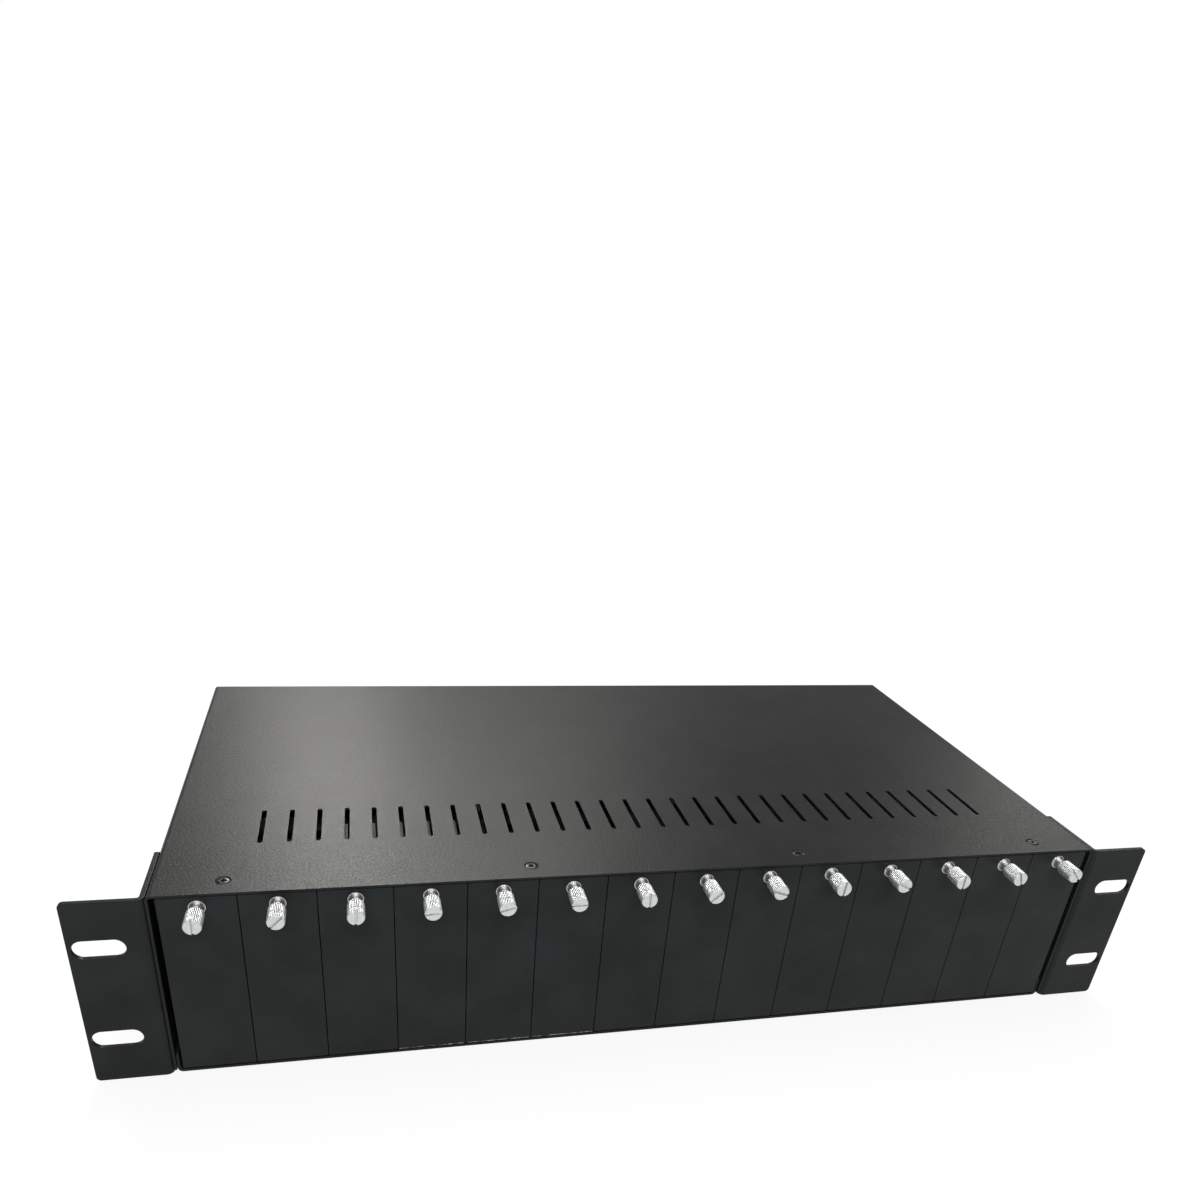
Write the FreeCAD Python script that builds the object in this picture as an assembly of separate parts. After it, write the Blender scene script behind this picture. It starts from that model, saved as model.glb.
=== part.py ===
import FreeCAD, Part
import math
import os

# A 19-inch, two-unit media converter chassis.
# Every card slot is closed by a filler panel on a captive thumbscrew.
# Millimetres. +X is to the right seen from the front, +Y runs from front to rear, +Z is up.
# The origin is on the underside, in the middle of the body's width and depth.

# Slots and body
slot_count = 14
panel_pitch = 29.7
end_gap = 2.4  # between the outer panels and the cover's sides
body_height = 88.8
body_depth = 226.0

# Sheet metal
cover_sheet = 1.0
tray_sheet = 1.2
rail_sheet = 1.2
panel_sheet = 1.5
ear_sheet = 2.0
bend_inside = 1.0
fit_gap = 0.1  # between sheets that lie against each other

# Filler panels
panel_joint = 0.3  # open joint between two panels
panel_top_gap = 0.35  # below the cover
panel_foot_gap = 1.45  # above the floor
panel_corner = 0.6
peg_radius = 1.5
peg_length = 2.6
peg_spacing = 16.0
peg_height = 4.6  # above the panel's lower edge
peg_clearance = 0.1

# Captive thumbscrews and their ferrules
thumbscrew_drop = 4.45  # axis below the panel's top edge
thread_radius = 1.5
thread_reach = 4.0  # behind the panel
running_gap = 0.06
ferrule_length = 3.4
ferrule_flange_radius = 3.2
ferrule_flange = 0.5
ferrule_base_radius = 3.0
ferrule_tip_radius = 2.4
ferrule_shank_radius = 2.3
neck_radius = 2.0
neck_length = 1.4
knob_radius = 3.5
knob_length = 9.2
knob_chamfer = 0.4
knurl_count = 30
knurl_depth = 0.3
slot_width = 0.9
slot_depth = 1.1
slot_angles = (0, 45, 5, 85, 75, 88, 0, 48, -72, 4, -62, 0, -18, -42)  # degrees from upright, left to right

# Rack ears
ear_span = 482.6
ear_trim = 0.7  # the ear is shorter than the body at each end
ear_proud = 1.0  # ear face ahead of the panels
ear_leg = 38.0
ear_corner = 2.0
rack_hole_pitch = 44.45
rack_slot_length = 19.5
rack_slot_width = 8.3
rack_slot_edge = 1.45  # from the slot to the ear's outer edge
ear_screw_radius = 2.0
ear_screw_head = 3.6
ear_screw_length = 6.0
ear_screw_inset = 15.7  # from the ear's lower and upper edge
ear_screw_edge = 5.0  # behind the front edge of the tray's wall
ear_screw_pitch = 10.0

# Top cover
cover_skirt = 2.0  # lower edge of the cover's sides above the underside
vent_count = 30
vent_pitch = 11.9
vent_length = 29.4
vent_width = 2.2
vent_setback = 38.6
case_screw_radius = 1.5
case_screw_head = 3.0
case_screw_length = 6.0
case_screw_count = 4
case_screw_span = 368.0
case_screw_setback = 9.5
side_screw_count = 3
side_screw_height = 22.0
side_screw_first = 38.0  # behind the ear's leg
side_screw_last = 6.0  # ahead of the rear panel's flange
pan_head_radius = 2.8
pan_head_height = 1.8
screw_clearance = 0.1

# Base tray
floor_setback = 1.0  # front and rear edges of the floor behind the cover's
wall_setback = 14.0  # the high part of the walls starts behind the front edge
wall_foot = 10.0

# Front rails
top_rail_height = 11.3
top_rail_depth = 26.0
bottom_rail_height = 10.0
bottom_rail_depth = 20.0
rail_tab = 26.0
tongue_runs = ((3, 8), (15, 17), (24, 27))  # first and last cooling slot of each group, counted from the left
tongue_slit = 0.95  # between two tongues
tongue_shift = 0.7  # middle of that slit to the right of a cooling slot's middle
tongue_reach = 18.2  # behind the front end of the cooling slots

# Card guides
guide_width = 2.4
guide_height = 7.0
guide_start = 4.0  # behind the bottom rail
guide_end = 22.5  # ahead of the board's bracket
guide_nose = 6.0
guide_tip = 0.8

# Distribution board
board_sheet = 1.6
board_height = 40.0
board_bottom = 14.0
board_margin = 4.0
spacer_length = 5.0
spacer_radius = 2.5
spacer_pin_radius = 1.5
spacer_count = 6
spacer_edge = 6.0  # from the outer spacers to the bracket's ends
bracket_height = 62.0
bracket_foot = 13.0
bracket_margin = 20.0
bracket_window_width = 46.0
bracket_window_corner = 4.0
plug_body = 9.0
plug_body_depth = 7.0
plug_corner = 1.0
plug_radius = 2.75
plug_bore = 1.05
plug_length = 9.5
plug_height = 12.0  # above the board's lower edge

# Power supplies
supply_width = 99.0
supply_depth = 82.0
supply_height = 30.0
supply_gap = 2.0  # to the fan beside it and the bracket in front
supply_rear_gap = 18.7  # to the rear panel, for the wires
supply_step_depth = 13.0
supply_step_height = 16.0
supply_corner = 1.5
terminal_count = 7
terminal_pitch = 9.5
terminal_radius = 3.0
terminal_height = 2.0
floor_screw_radius = 1.5
floor_screw_head = 2.55
floor_screw_length = 4.4
floor_screw_inset = 8.0

# Rear panel and what it carries
rear_flange = 12.0
rear_height = 46.0  # middle of fans, inlets and switches above the underside
fan_size = 60.0
fan_depth = 15.0
fan_corner = 4.0
fan_wall = 1.5
fan_hole_inset = 5.0
fan_hole_radius = 2.2
fan_middle_gap = 2.0
fan_hub_radius = 12.5
fan_cup_depth = 4.0
fan_strut = 3.0
fan_blade_count = 7
fan_blade_thickness = 1.2
fan_blade_gap = 0.8
fan_blade_lean = 48.0
fan_axial_gap = 0.5
fan_shaft_radius = 1.5
fan_screw_radius = 2.0
fan_screw_length = 8.0
grille_rings = 3
grille_bar = 2.6
inlet_edge = 31.0  # from the tray's wall to the inlet's middle
inlet_flange = (50.0, 22.6, 3.0)
inlet_body = (27.4, 19.8, 22.0)
inlet_socket = (24.4, 16.9, 16.0)
inlet_bevel = 4.0
inlet_edge_radius = 0.5
inlet_corner = 2.0
inlet_screw_spacing = 40.0
inlet_pin = (2.0, 4.0)
inlet_pin_recess = 5.0
inlet_pin_spacing = 14.0
inlet_pin_offset = 2.0
inlet_pin_tail = 8.0
switch_step = 40.0  # from the inlet's middle to the switch's
switch_bezel = (15.0, 21.0, 2.0)
switch_body = (12.8, 18.8, 14.0)
switch_wall = 1.2
switch_corner = 1.0
rocker_gap = 0.3
rocker_tilt = 10.0
rocker_depth = 5.0
rocker_rise = 2.6
rocker_pin_radius = 1.0
rocker_pin_length = 0.8
ground_screw_x = 110.0
ground_screw_height = 18.0

TINY = 1e-6
Vector = FreeCAD.Vector
INWARD = Vector(-1, 0, 0)  # on the right-hand side
FORWARD = Vector(0, -1, 0)
BACKWARD = Vector(0, 1, 0)
UP = Vector(0, 0, 1)
DOWN = Vector(0, 0, -1)

# Levels, lines and holes that the pieces share
thread_hole = thread_radius + running_gap
case_screw_hole = case_screw_radius + screw_clearance
fan_screw_hole = fan_screw_radius + screw_clearance
spacer_hole = spacer_pin_radius + running_gap
case_screw_pitch = case_screw_span / (case_screw_count - 1)
row_width = slot_count * panel_pitch
half_width = row_width / 2 + end_gap + cover_sheet
cover_under = body_height - cover_sheet
sheet_top = cover_under - fit_gap
wall_top = sheet_top - bend_inside
front_y = -body_depth / 2
rear_y = body_depth / 2
tray_front_y = front_y + floor_setback
tray_rear_y = rear_y - floor_setback
wall_outside = half_width - cover_sheet - fit_gap
wall_inside = wall_outside - tray_sheet
panel_bottom = tray_sheet + panel_foot_gap
panel_top = cover_under - panel_top_gap
panel_back_y = front_y + panel_sheet
peg_z = panel_bottom + peg_height
thumbscrew_z = panel_top - thumbscrew_drop
rail_front_y = panel_back_y + fit_gap
rail_half = wall_inside - fit_gap
floor_half = rail_half - bend_inside  # clear of the bends between floor and walls
bend_outside = rail_sheet + bend_inside
case_screw_y = front_y + case_screw_setback
vent_middle_y = front_y + vent_setback + vent_length / 2
ear_face_y = front_y - ear_proud
wall_front_y = front_y + wall_setback
rack_slot_x = ear_span / 2 - rack_slot_edge - rack_slot_length / 2
rear_inside_y = tray_rear_y - tray_sheet
fan_bore_radius = fan_size / 2 - fan_wall
fan_hole_spacing = fan_size - 2 * fan_hole_inset
fan_x = (fan_size + fan_middle_gap) / 2
inlet_x = wall_inside - inlet_edge
switch_x = inlet_x - switch_step
supply_x = fan_x + fan_size / 2 + supply_gap + supply_width / 2
supply_rear_y = rear_inside_y - supply_rear_gap
supply_front_y = supply_rear_y - supply_depth
bracket_rear_y = supply_front_y - supply_gap
bracket_y = bracket_rear_y - bracket_foot
bracket_half = wall_inside - bracket_margin
board_y = bracket_y - spacer_length - board_sheet
board_half = wall_inside - board_margin
spacer_z = board_bottom + board_height / 2
spacer_pitch = 2 * (bracket_half - spacer_edge) / (spacer_count - 1)
guide_front_y = rail_front_y + bottom_rail_depth + guide_start
guide_rear_y = bracket_y - guide_end


# Building blocks

def spread(count, pitch, middle=0.0):
    """Evenly spaced places about a middle."""
    return [middle + (index - (count - 1) / 2) * pitch for index in range(count)]


def panel_places():
    """Middle of each filler panel, left to right."""
    return spread(slot_count, panel_pitch)


def block(x, y, z):
    """A box between a low and a high value on each axis."""
    return Part.makeBox(x[1] - x[0], y[1] - y[0], z[1] - z[0], Vector(x[0], y[0], z[0]))


def on_xy(z):
    return lambda point: Vector(point.x, point.y, z)


def on_xz(y):
    return lambda point: Vector(point.x, y, point.y)


def on_yz(x):
    return lambda point: Vector(x, point.x, point.y)


def rectangle(u, v, radius=0.0):
    """Corners of a rectangle, each with its radius."""
    return [(u[0], v[0], radius), (u[1], v[0], radius), (u[1], v[1], radius), (u[0], v[1], radius)]


def about(middle, size):
    """Low and high value of a size about its middle."""
    return (middle - size / 2, middle + size / 2)


def rounding(before, corner, after):
    """Start, middle and end of one corner's arc, which is a single point where the corner is sharp."""
    here = Vector(corner[0], corner[1], 0)
    if corner[2] == 0:
        return here, here, here
    back = (Vector(before[0], before[1], 0) - here).normalize()
    ahead = (Vector(after[0], after[1], 0) - here).normalize()
    half_angle = back.getAngle(ahead) / 2
    reach = corner[2] / math.tan(half_angle)
    inward = (back + ahead).normalize()
    middle = here + inward * (corner[2] / math.sin(half_angle) - corner[2])
    return here + back * reach, middle, here + ahead * reach


def outline(corners, place):
    """A flat face with straight sides and rounded corners."""
    count = len(corners)
    arcs = [rounding(corners[i - 1], corners[i], corners[(i + 1) % count]) for i in range(count)]
    edges = []
    for index, (start, middle, end) in enumerate(arcs):
        if (end - start).Length > TINY:
            edges.append(Part.Arc(place(start), place(middle), place(end)).toShape())
        following = arcs[(index + 1) % count][0]
        if (following - end).Length > TINY:
            edges.append(Part.makeLine(place(end), place(following)))
    return Part.Face(Part.Wire(edges))


def bent_sheet(path, sheet, side):
    """Corners of a sheet's section along a path of square turns, the sheet on its left (1) or right (-1)."""
    points = [Vector(u, v, 0) for u, v in path]
    steps = [(points[i + 1] - points[i]).normalize() for i in range(len(points) - 1)]
    normals = [Vector(-step.y, step.x, 0) * side for step in steps]
    face = [(points[0].x, points[0].y, 0.0)]
    first = points[0] + normals[0] * sheet
    back = [(first.x, first.y, 0.0)]
    for index in range(1, len(points) - 1):
        turn = steps[index - 1].cross(steps[index]).z * side
        inner = points[index] + (normals[index - 1] + normals[index]) * sheet
        wide = bend_inside + sheet
        face.append((points[index].x, points[index].y, wide if turn > 0 else bend_inside))
        back.append((inner.x, inner.y, bend_inside if turn > 0 else wide))
    last = points[-1] + normals[-1] * sheet
    face.append((points[-1].x, points[-1].y, 0.0))
    back.append((last.x, last.y, 0.0))
    return face + back[::-1]


def turned(profile, start, direction):
    """A turned piece from (radius, distance) points along an axis."""
    points = [Vector(radius, 0, distance) for radius, distance in profile]
    solid = Part.Face(Part.makePolygon(points + points[:1])).revolve(Vector(0, 0, 0), UP, 360)
    solid.Placement = FreeCAD.Placement(start, FreeCAD.Rotation(UP, direction))
    return solid


def rod(radius, start, direction, length):
    return Part.makeCylinder(radius, length, start, direction)


def flat_screw(head, shank, length, start, direction, grow=0.0):
    """A countersunk screw whose head is flush at the start. With grow it is the cutter of its hole."""
    wide = head + grow
    thin = shank + grow
    profile = [(0, -grow), (wide, -grow), (wide, 0), (thin, wide - thin), (thin, length + grow),
               (0, length + grow)]
    if grow == 0:
        profile = [(0, 0), (head, 0), (shank, head - shank), (shank, length), (0, length)]
    return turned(profile, start, direction)


def pan_screw(shank, length, start, direction):
    """A screw with a low rounded head that rests on the surface at the start."""
    rim = pan_head_radius * 0.8
    profile = [(0, -pan_head_height), (rim, -pan_head_height), (pan_head_radius, -pan_head_height / 2),
               (pan_head_radius, 0), (shank, 0), (shank, length), (0, length)]
    return turned(profile, start, direction)


def group(solids):
    return Part.makeCompound(solids)


def mirrored(shape):
    """The same piece for the left side."""
    return shape.mirror(Vector(0, 0, 0), Vector(1, 0, 0))


def save(name, shape):
    if not shape.isValid():
        raise ValueError(name + " is not a valid shape")
    shape.exportStep("parts/" + name + ".step")


# Places of the screws that pass through several pieces

def case_screw_places():
    return [Vector(x, case_screw_y, body_height) for x in spread(case_screw_count, case_screw_pitch)]


def ear_screw_places():
    """Right-hand side, on the outside of the ear's leg."""
    inset = ear_trim + ear_screw_inset
    first = wall_front_y + ear_screw_edge
    rows = (first, first + ear_screw_pitch)
    return [Vector(half_width + ear_sheet, y, z) for y in rows for z in (inset, body_height - inset)]


def side_screw_places():
    """Right-hand side, on the outside of the cover."""
    first = ear_face_y + ear_leg + side_screw_first
    step = (tray_rear_y - rear_flange - side_screw_last - first) / (side_screw_count - 1)
    return [Vector(half_width, first + index * step, side_screw_height) for index in range(side_screw_count)]


def floor_screw_places():
    """From below: power supplies, board bracket and rear panel."""
    inset = floor_screw_inset
    supply = [(supply_x + sx * (supply_width / 2 - inset), y)
              for sx in (-1, 1) for y in (supply_front_y + inset, supply_rear_y - inset)]
    bracket = [(bracket_half - inset, bracket_rear_y - bracket_foot / 3)]
    rear = [(wall_inside - 2 * inset, rear_inside_y - rear_flange / 2)]
    right = supply + bracket + rear
    return [Vector(side * x, y, 0) for x, y in right for side in (-1, 1)]


def floor_screw(place, grow=0.0):
    return flat_screw(floor_screw_head, floor_screw_radius, floor_screw_length, place, UP, grow)


def floor_screw_holes():
    return [floor_screw(place, screw_clearance) for place in floor_screw_places()]


def ear_screw(place, grow=0.0):
    return flat_screw(ear_screw_head, ear_screw_radius, ear_screw_length, place, INWARD, grow)


def both_sides(shapes):
    return shapes + [mirrored(shape) for shape in shapes]


def wall_holes():
    """Holes of the ear screws and side screws, through cover and tray."""
    reach = ear_screw_length
    ears = [ear_screw(place, screw_clearance) for place in ear_screw_places()]
    sides = [rod(case_screw_hole, place, INWARD, reach) for place in side_screw_places()]
    return both_sides(ears + sides)


def case_screw(place, grow=0.0):
    return flat_screw(case_screw_head, case_screw_radius, case_screw_length, place, DOWN, grow)


# Sheet-metal pieces

def base_tray():
    """Floor and side walls bent from one sheet, the walls cut down behind the front corners."""
    path = [(-wall_outside, wall_top), (-wall_outside, 0), (wall_outside, 0), (wall_outside, wall_top)]
    length = Vector(0, tray_rear_y - tray_front_y, 0)
    tray = outline(bent_sheet(path, tray_sheet, 1), on_xz(tray_front_y)).extrude(length)
    wall_notch = block((-half_width, half_width), (tray_front_y - 1, wall_front_y), (wall_foot, body_height))
    return tray.cut([wall_notch] + wall_holes() + floor_screw_holes())


def top_cover():
    """Roof and sides bent from one sheet, with the row of cooling slots near the front."""
    path = [(half_width, cover_skirt), (half_width, body_height), (-half_width, body_height),
            (-half_width, cover_skirt)]
    cover = outline(bent_sheet(path, cover_sheet, 1), on_xz(front_y)).extrude(Vector(0, body_depth, 0))
    cutters = wall_holes()
    for x in spread(vent_count, vent_pitch):
        vent = rectangle(about(x, vent_width), about(vent_middle_y, vent_length), vent_width / 2)
        cutters.append(outline(vent, on_xy(cover_under - fit_gap)).extrude(UP * (cover_sheet + 2 * fit_gap)))
    cutters += [case_screw(place, screw_clearance) for place in case_screw_places()]
    return cover.cut(cutters)


def rack_ear():
    """Right-hand ear: a flange for the rack, bent back into a leg on the body's side."""
    outer_x = ear_span / 2
    path = [(outer_x, ear_face_y), (half_width, ear_face_y), (half_width, ear_face_y + ear_leg)]
    height = (ear_trim, body_height - ear_trim)
    ear = outline(bent_sheet(path, ear_sheet, -1), on_xy(height[0])).extrude(UP * (height[1] - height[0]))
    flange = rectangle((half_width - 1, outer_x), height, ear_corner)
    leg = rectangle((ear_face_y - 1, ear_face_y + ear_leg), height, ear_corner)
    bend_x = half_width + ear_sheet + bend_inside
    bend_y = ear_face_y + ear_sheet + bend_inside
    flange = outline(flange, on_xz(ear_face_y - 1)).extrude(BACKWARD * (ear_leg + 2))
    beside = block((half_width - 1, bend_x), (ear_face_y - 1, ear_face_y + ear_leg + 1), height)
    leg = outline(leg, on_yz(half_width - 1)).extrude(Vector(ear_span, 0, 0))
    ahead = block((half_width - 1, outer_x + 1), (ear_face_y - 1, bend_y), height)
    ear = ear.common(flange.fuse(beside)).common(leg.fuse(ahead))
    cutters = [ear_screw(place, screw_clearance) for place in ear_screw_places()]
    for z in spread(2, rack_hole_pitch, body_height / 2):
        slot = rectangle(about(rack_slot_x, rack_slot_length), about(z, rack_slot_width), rack_slot_width / 2)
        cutters.append(outline(slot, on_xz(ear_face_y - 1)).extrude(BACKWARD * (ear_sheet + 2)))
    return ear.cut(cutters)


def front_top_rail():
    """Angle behind the panels' upper ends, with end tabs and tongues below the cooling slots."""
    bottom = sheet_top - top_rail_height
    rear = rail_front_y + top_rail_depth
    angle_half = rail_half - bend_outside
    path = [(rail_front_y, bottom), (rail_front_y, sheet_top), (rear, sheet_top)]
    rail = outline(bent_sheet(path, rail_sheet, -1), on_yz(-angle_half)).extrude(Vector(2 * angle_half, 0, 0))
    tab_y = rail_front_y + rail_tab
    path = [(-rail_half, tab_y), (-rail_half, rail_front_y), (rail_half, rail_front_y), (rail_half, tab_y)]
    tab_height = top_rail_height - bend_outside - fit_gap
    pieces = [outline(bent_sheet(path, rail_sheet, 1), on_xy(bottom)).extrude(UP * tab_height)]
    vents = spread(vent_count, vent_pitch)
    tongue_y = (rear - 2 * bend_outside, front_y + vent_setback + tongue_reach)
    for first, last in tongue_runs:
        for number in range(first, last):
            left = vents[number - 1] + tongue_shift + tongue_slit / 2
            right = vents[number] + tongue_shift - tongue_slit / 2
            tongue = rectangle((left, right), tongue_y, bend_inside)
            pieces.append(outline(tongue, on_xy(sheet_top - 2 * rail_sheet)).extrude(UP * rail_sheet))
    rail = rail.fuse(pieces).removeSplitter()
    cutters = [rod(thread_hole, Vector(x, rail_front_y - 1, thumbscrew_z), BACKWARD, rail_sheet + 2)
               for x in panel_places()]
    cutters += [case_screw(place, screw_clearance) for place in case_screw_places()]
    return rail.cut(cutters)


def peg_places():
    """Middle of every peg, on the panels' back."""
    return [x + dx for x in panel_places() for dx in (-peg_spacing / 2, peg_spacing / 2)]


def front_bottom_rail():
    """Angle on the floor behind the panels' lower ends, with a hole for every panel peg."""
    path = [(rail_front_y, tray_sheet + bottom_rail_height), (rail_front_y, tray_sheet),
            (rail_front_y + bottom_rail_depth, tray_sheet)]
    rail = outline(bent_sheet(path, rail_sheet, 1), on_yz(-floor_half)).extrude(Vector(2 * floor_half, 0, 0))
    hole = peg_radius + peg_clearance
    holes = [rod(hole, Vector(x, rail_front_y - 1, peg_z), BACKWARD, rail_sheet + 2) for x in peg_places()]
    return rail.cut(holes)


def card_guide(x):
    """Low bar on the floor between two slots, pointed at the front so that a card finds its slot."""
    half = guide_width / 2
    tip = guide_tip / 2
    nose = guide_front_y + guide_nose
    plan = [(x - half, guide_rear_y, 0.0), (x + half, guide_rear_y, 0.0), (x + half, nose, 0.0),
            (x + tip, guide_front_y, 0.0), (x - tip, guide_front_y, 0.0), (x - half, nose, 0.0)]
    return outline(plan, on_xy(tray_sheet)).extrude(UP * guide_height)


def rear_panel():
    """Rear wall with side and bottom flanges, the fan grilles and the cut-outs of inlets and switches."""
    half = wall_inside - fit_gap
    front = tray_rear_y - rear_flange
    low = tray_sheet + tray_sheet + bend_inside
    path = [(half, front), (half, tray_rear_y), (-half, tray_rear_y), (-half, front)]
    panel = outline(bent_sheet(path, tray_sheet, 1), on_xy(low)).extrude(UP * (sheet_top - low))
    foot_half = half - tray_sheet - bend_inside
    path = [(tray_rear_y, low + 1), (tray_rear_y, tray_sheet), (front, tray_sheet)]
    foot = outline(bent_sheet(path, tray_sheet, -1), on_yz(-foot_half)).extrude(Vector(2 * foot_half, 0, 0))
    panel = panel.fuse(foot).removeSplitter()
    return panel.cut(rear_panel_cutters())


def rear_panel_cutters():
    deep = BACKWARD * (tray_sheet + 2)
    start = rear_inside_y - 1
    cutters = floor_screw_holes()
    for side in (-1, 1):
        cutters += fan_grille(side * fan_x, start)
        for x in spread(2, fan_hole_spacing, side * fan_x):
            for z in spread(2, fan_hole_spacing, rear_height):
                cutters.append(rod(fan_screw_hole, Vector(x, start, z), BACKWARD, deep.Length))
        body = inlet_outline(side * inlet_x, inlet_body[0] + 2 * fit_gap, inlet_body[1] + 2 * fit_gap)
        cutters.append(outline(body, on_xz(start)).extrude(deep))
        for x in spread(2, inlet_screw_spacing, side * inlet_x):
            cutters.append(rod(case_screw_hole, Vector(x, start, rear_height), BACKWARD, deep.Length))
        wide = about(side * switch_x, switch_body[0] + 2 * fit_gap)
        body = rectangle(wide, about(rear_height, switch_body[1] + 2 * fit_gap))
        cutters.append(outline(body, on_xz(start)).extrude(deep))
    ground = Vector(ground_screw_x, start, ground_screw_height)
    cutters.append(rod(case_screw_hole, ground, BACKWARD, deep.Length))
    return cutters


def fan_grille(x, start):
    """Ring-shaped slots with four bars left between them."""
    middle = Vector(x, start, rear_height)
    thick = tray_sheet + 2
    bars = [block(about(x, grille_bar), (start, start + thick), about(rear_height, fan_size)),
            block(about(x, fan_size), (start, start + thick), about(rear_height, grille_bar))]
    step = (fan_bore_radius - fan_hub_radius / 2) / grille_rings
    slots = []
    for ring in range(grille_rings):
        outer = fan_bore_radius - ring * step
        inner = outer - step + grille_bar
        slots.append(rod(outer, middle, BACKWARD, thick).cut([rod(inner, middle, BACKWARD, thick)] + bars))
    return slots


# Filler panels and thumbscrews

def filler_panel(x):
    """Flat plate with two locating pegs behind its lower end and a ferrule pressed into its upper end."""
    width = panel_pitch - panel_joint
    face = rectangle(about(x, width), (panel_bottom, panel_top), panel_corner)
    plate = outline(face, on_xz(front_y)).extrude(BACKWARD * panel_sheet)
    axis = Vector(x, front_y, thumbscrew_z)
    plate = plate.cut(rod(ferrule_shank_radius + running_gap, axis, BACKWARD, panel_sheet))
    pegs = [rod(peg_radius, Vector(x + dx, panel_back_y, peg_z), BACKWARD, peg_length)
            for dx in (-peg_spacing / 2, peg_spacing / 2)]
    profile = [(thread_hole, -panel_sheet), (ferrule_shank_radius, -panel_sheet), (ferrule_shank_radius, 0),
               (ferrule_flange_radius, 0), (ferrule_flange_radius, ferrule_flange),
               (ferrule_base_radius, ferrule_flange), (ferrule_tip_radius, ferrule_length),
               (thread_hole, ferrule_length)]
    ferrule = turned(profile, axis, FORWARD)
    return group([plate] + pegs + [ferrule])


def knurled_knob():
    """The thumbscrew without its driver slot, with the panel's face at the origin and the head forward."""
    neck_start = ferrule_length + fit_gap
    knob_start = neck_start + neck_length
    knob_end = knob_start + knob_length
    tip = -panel_sheet - thread_reach
    profile = [(0, tip), (thread_radius - knob_chamfer, tip), (thread_radius, tip + knob_chamfer),
               (thread_radius, neck_start), (neck_radius, neck_start), (neck_radius, knob_start),
               (knob_radius - knob_chamfer, knob_start), (knob_radius, knob_start + knob_chamfer),
               (knob_radius, knob_end - knob_chamfer), (knob_radius - knob_chamfer, knob_end), (0, knob_end)]
    knob = turned(profile, Vector(0, 0, 0), FORWARD)
    half = math.tan(math.pi / knurl_count) * knob_radius * 0.62
    groove = [(-half, knob_radius + knurl_depth / 4, 0.0), (half, knob_radius + knurl_depth / 4, 0.0),
              (0, knob_radius - knurl_depth, 0.0)]
    cutter = outline(groove, on_xz(-knob_start)).extrude(FORWARD * knob_length)
    cutters = []
    for index in range(knurl_count):
        turn = cutter.copy()
        turn.rotate(Vector(0, 0, 0), BACKWARD, 360 * (index + 0.5) / knurl_count)
        cutters.append(turn)
    return knob.cut(cutters)


def thumbscrew(knob, x, angle):
    """The knob with its driver slot cut at an angle, set in its panel."""
    end = ferrule_length + fit_gap + neck_length + knob_length
    slot = block(about(0, slot_width), (-end - 1, -end + slot_depth), about(0, 4 * knob_radius))
    slot.rotate(Vector(0, 0, 0), BACKWARD, angle)
    screw = knob.cut(slot)
    screw.translate(Vector(x, front_y, thumbscrew_z))
    return screw


# Distribution board

def spacer_places():
    return [Vector(x, board_y, spacer_z) for x in spread(spacer_count, spacer_pitch)]


def dc_board():
    """Circuit board across the chassis, standing behind the cards."""
    face = rectangle((-board_half, board_half), (board_bottom, board_bottom + board_height), bend_inside)
    board = outline(face, on_xz(board_y)).extrude(BACKWARD * board_sheet)
    return board.cut([rod(spacer_hole, place, BACKWARD, board_sheet) for place in spacer_places()])


def board_spacer(place):
    """Moulded spacer that clips through the board and the bracket."""
    head = spacer_radius
    pin = spacer_pin_radius
    far = board_sheet + spacer_length
    end = far + rail_sheet
    profile = [(0, -1), (head * 0.7, -1), (head, 0), (pin, 0), (pin, board_sheet), (head, board_sheet),
               (head, far), (pin, far), (pin, end), (head * 0.8, end), (pin * 0.7, end + 1.5), (0, end + 1.5)]
    return turned(profile, place, BACKWARD)


def board_bracket():
    """Angle on the floor that carries the board, with windows for the air."""
    path = [(bracket_y, tray_sheet + bracket_height), (bracket_y, tray_sheet), (bracket_rear_y, tray_sheet)]
    length = Vector(2 * bracket_half, 0, 0)
    bracket = outline(bent_sheet(path, rail_sheet, 1), on_yz(-bracket_half)).extrude(length)
    starts = [Vector(place.x, bracket_y - 1, place.z) for place in spacer_places()]
    cutters = [rod(spacer_hole, start, BACKWARD, rail_sheet + 2) for start in starts]
    window_z = (tray_sheet + floor_screw_inset, tray_sheet + bracket_height - floor_screw_inset)
    for x in spread(spacer_count - 1, spacer_pitch):
        window = rectangle(about(x, bracket_window_width), window_z, bracket_window_corner)
        cutters.append(outline(window, on_xz(bracket_y - 1)).extrude(BACKWARD * (rail_sheet + 2)))
    return bracket.cut(cutters + floor_screw_holes())


def dc_plug(x):
    """Barrel plug that feeds the card in one slot."""
    z = board_bottom + plug_height
    body = rectangle(about(x, plug_body), about(z, plug_body), plug_corner)
    body = outline(body, on_xz(board_y)).extrude(FORWARD * plug_body_depth)
    front = Vector(x, board_y - plug_body_depth, z)
    barrel = rod(plug_radius, front, FORWARD, plug_length)
    return body.fuse(barrel).cut(rod(plug_bore, front, FORWARD, plug_length))


# Power supplies, inlets, switches and fans

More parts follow.
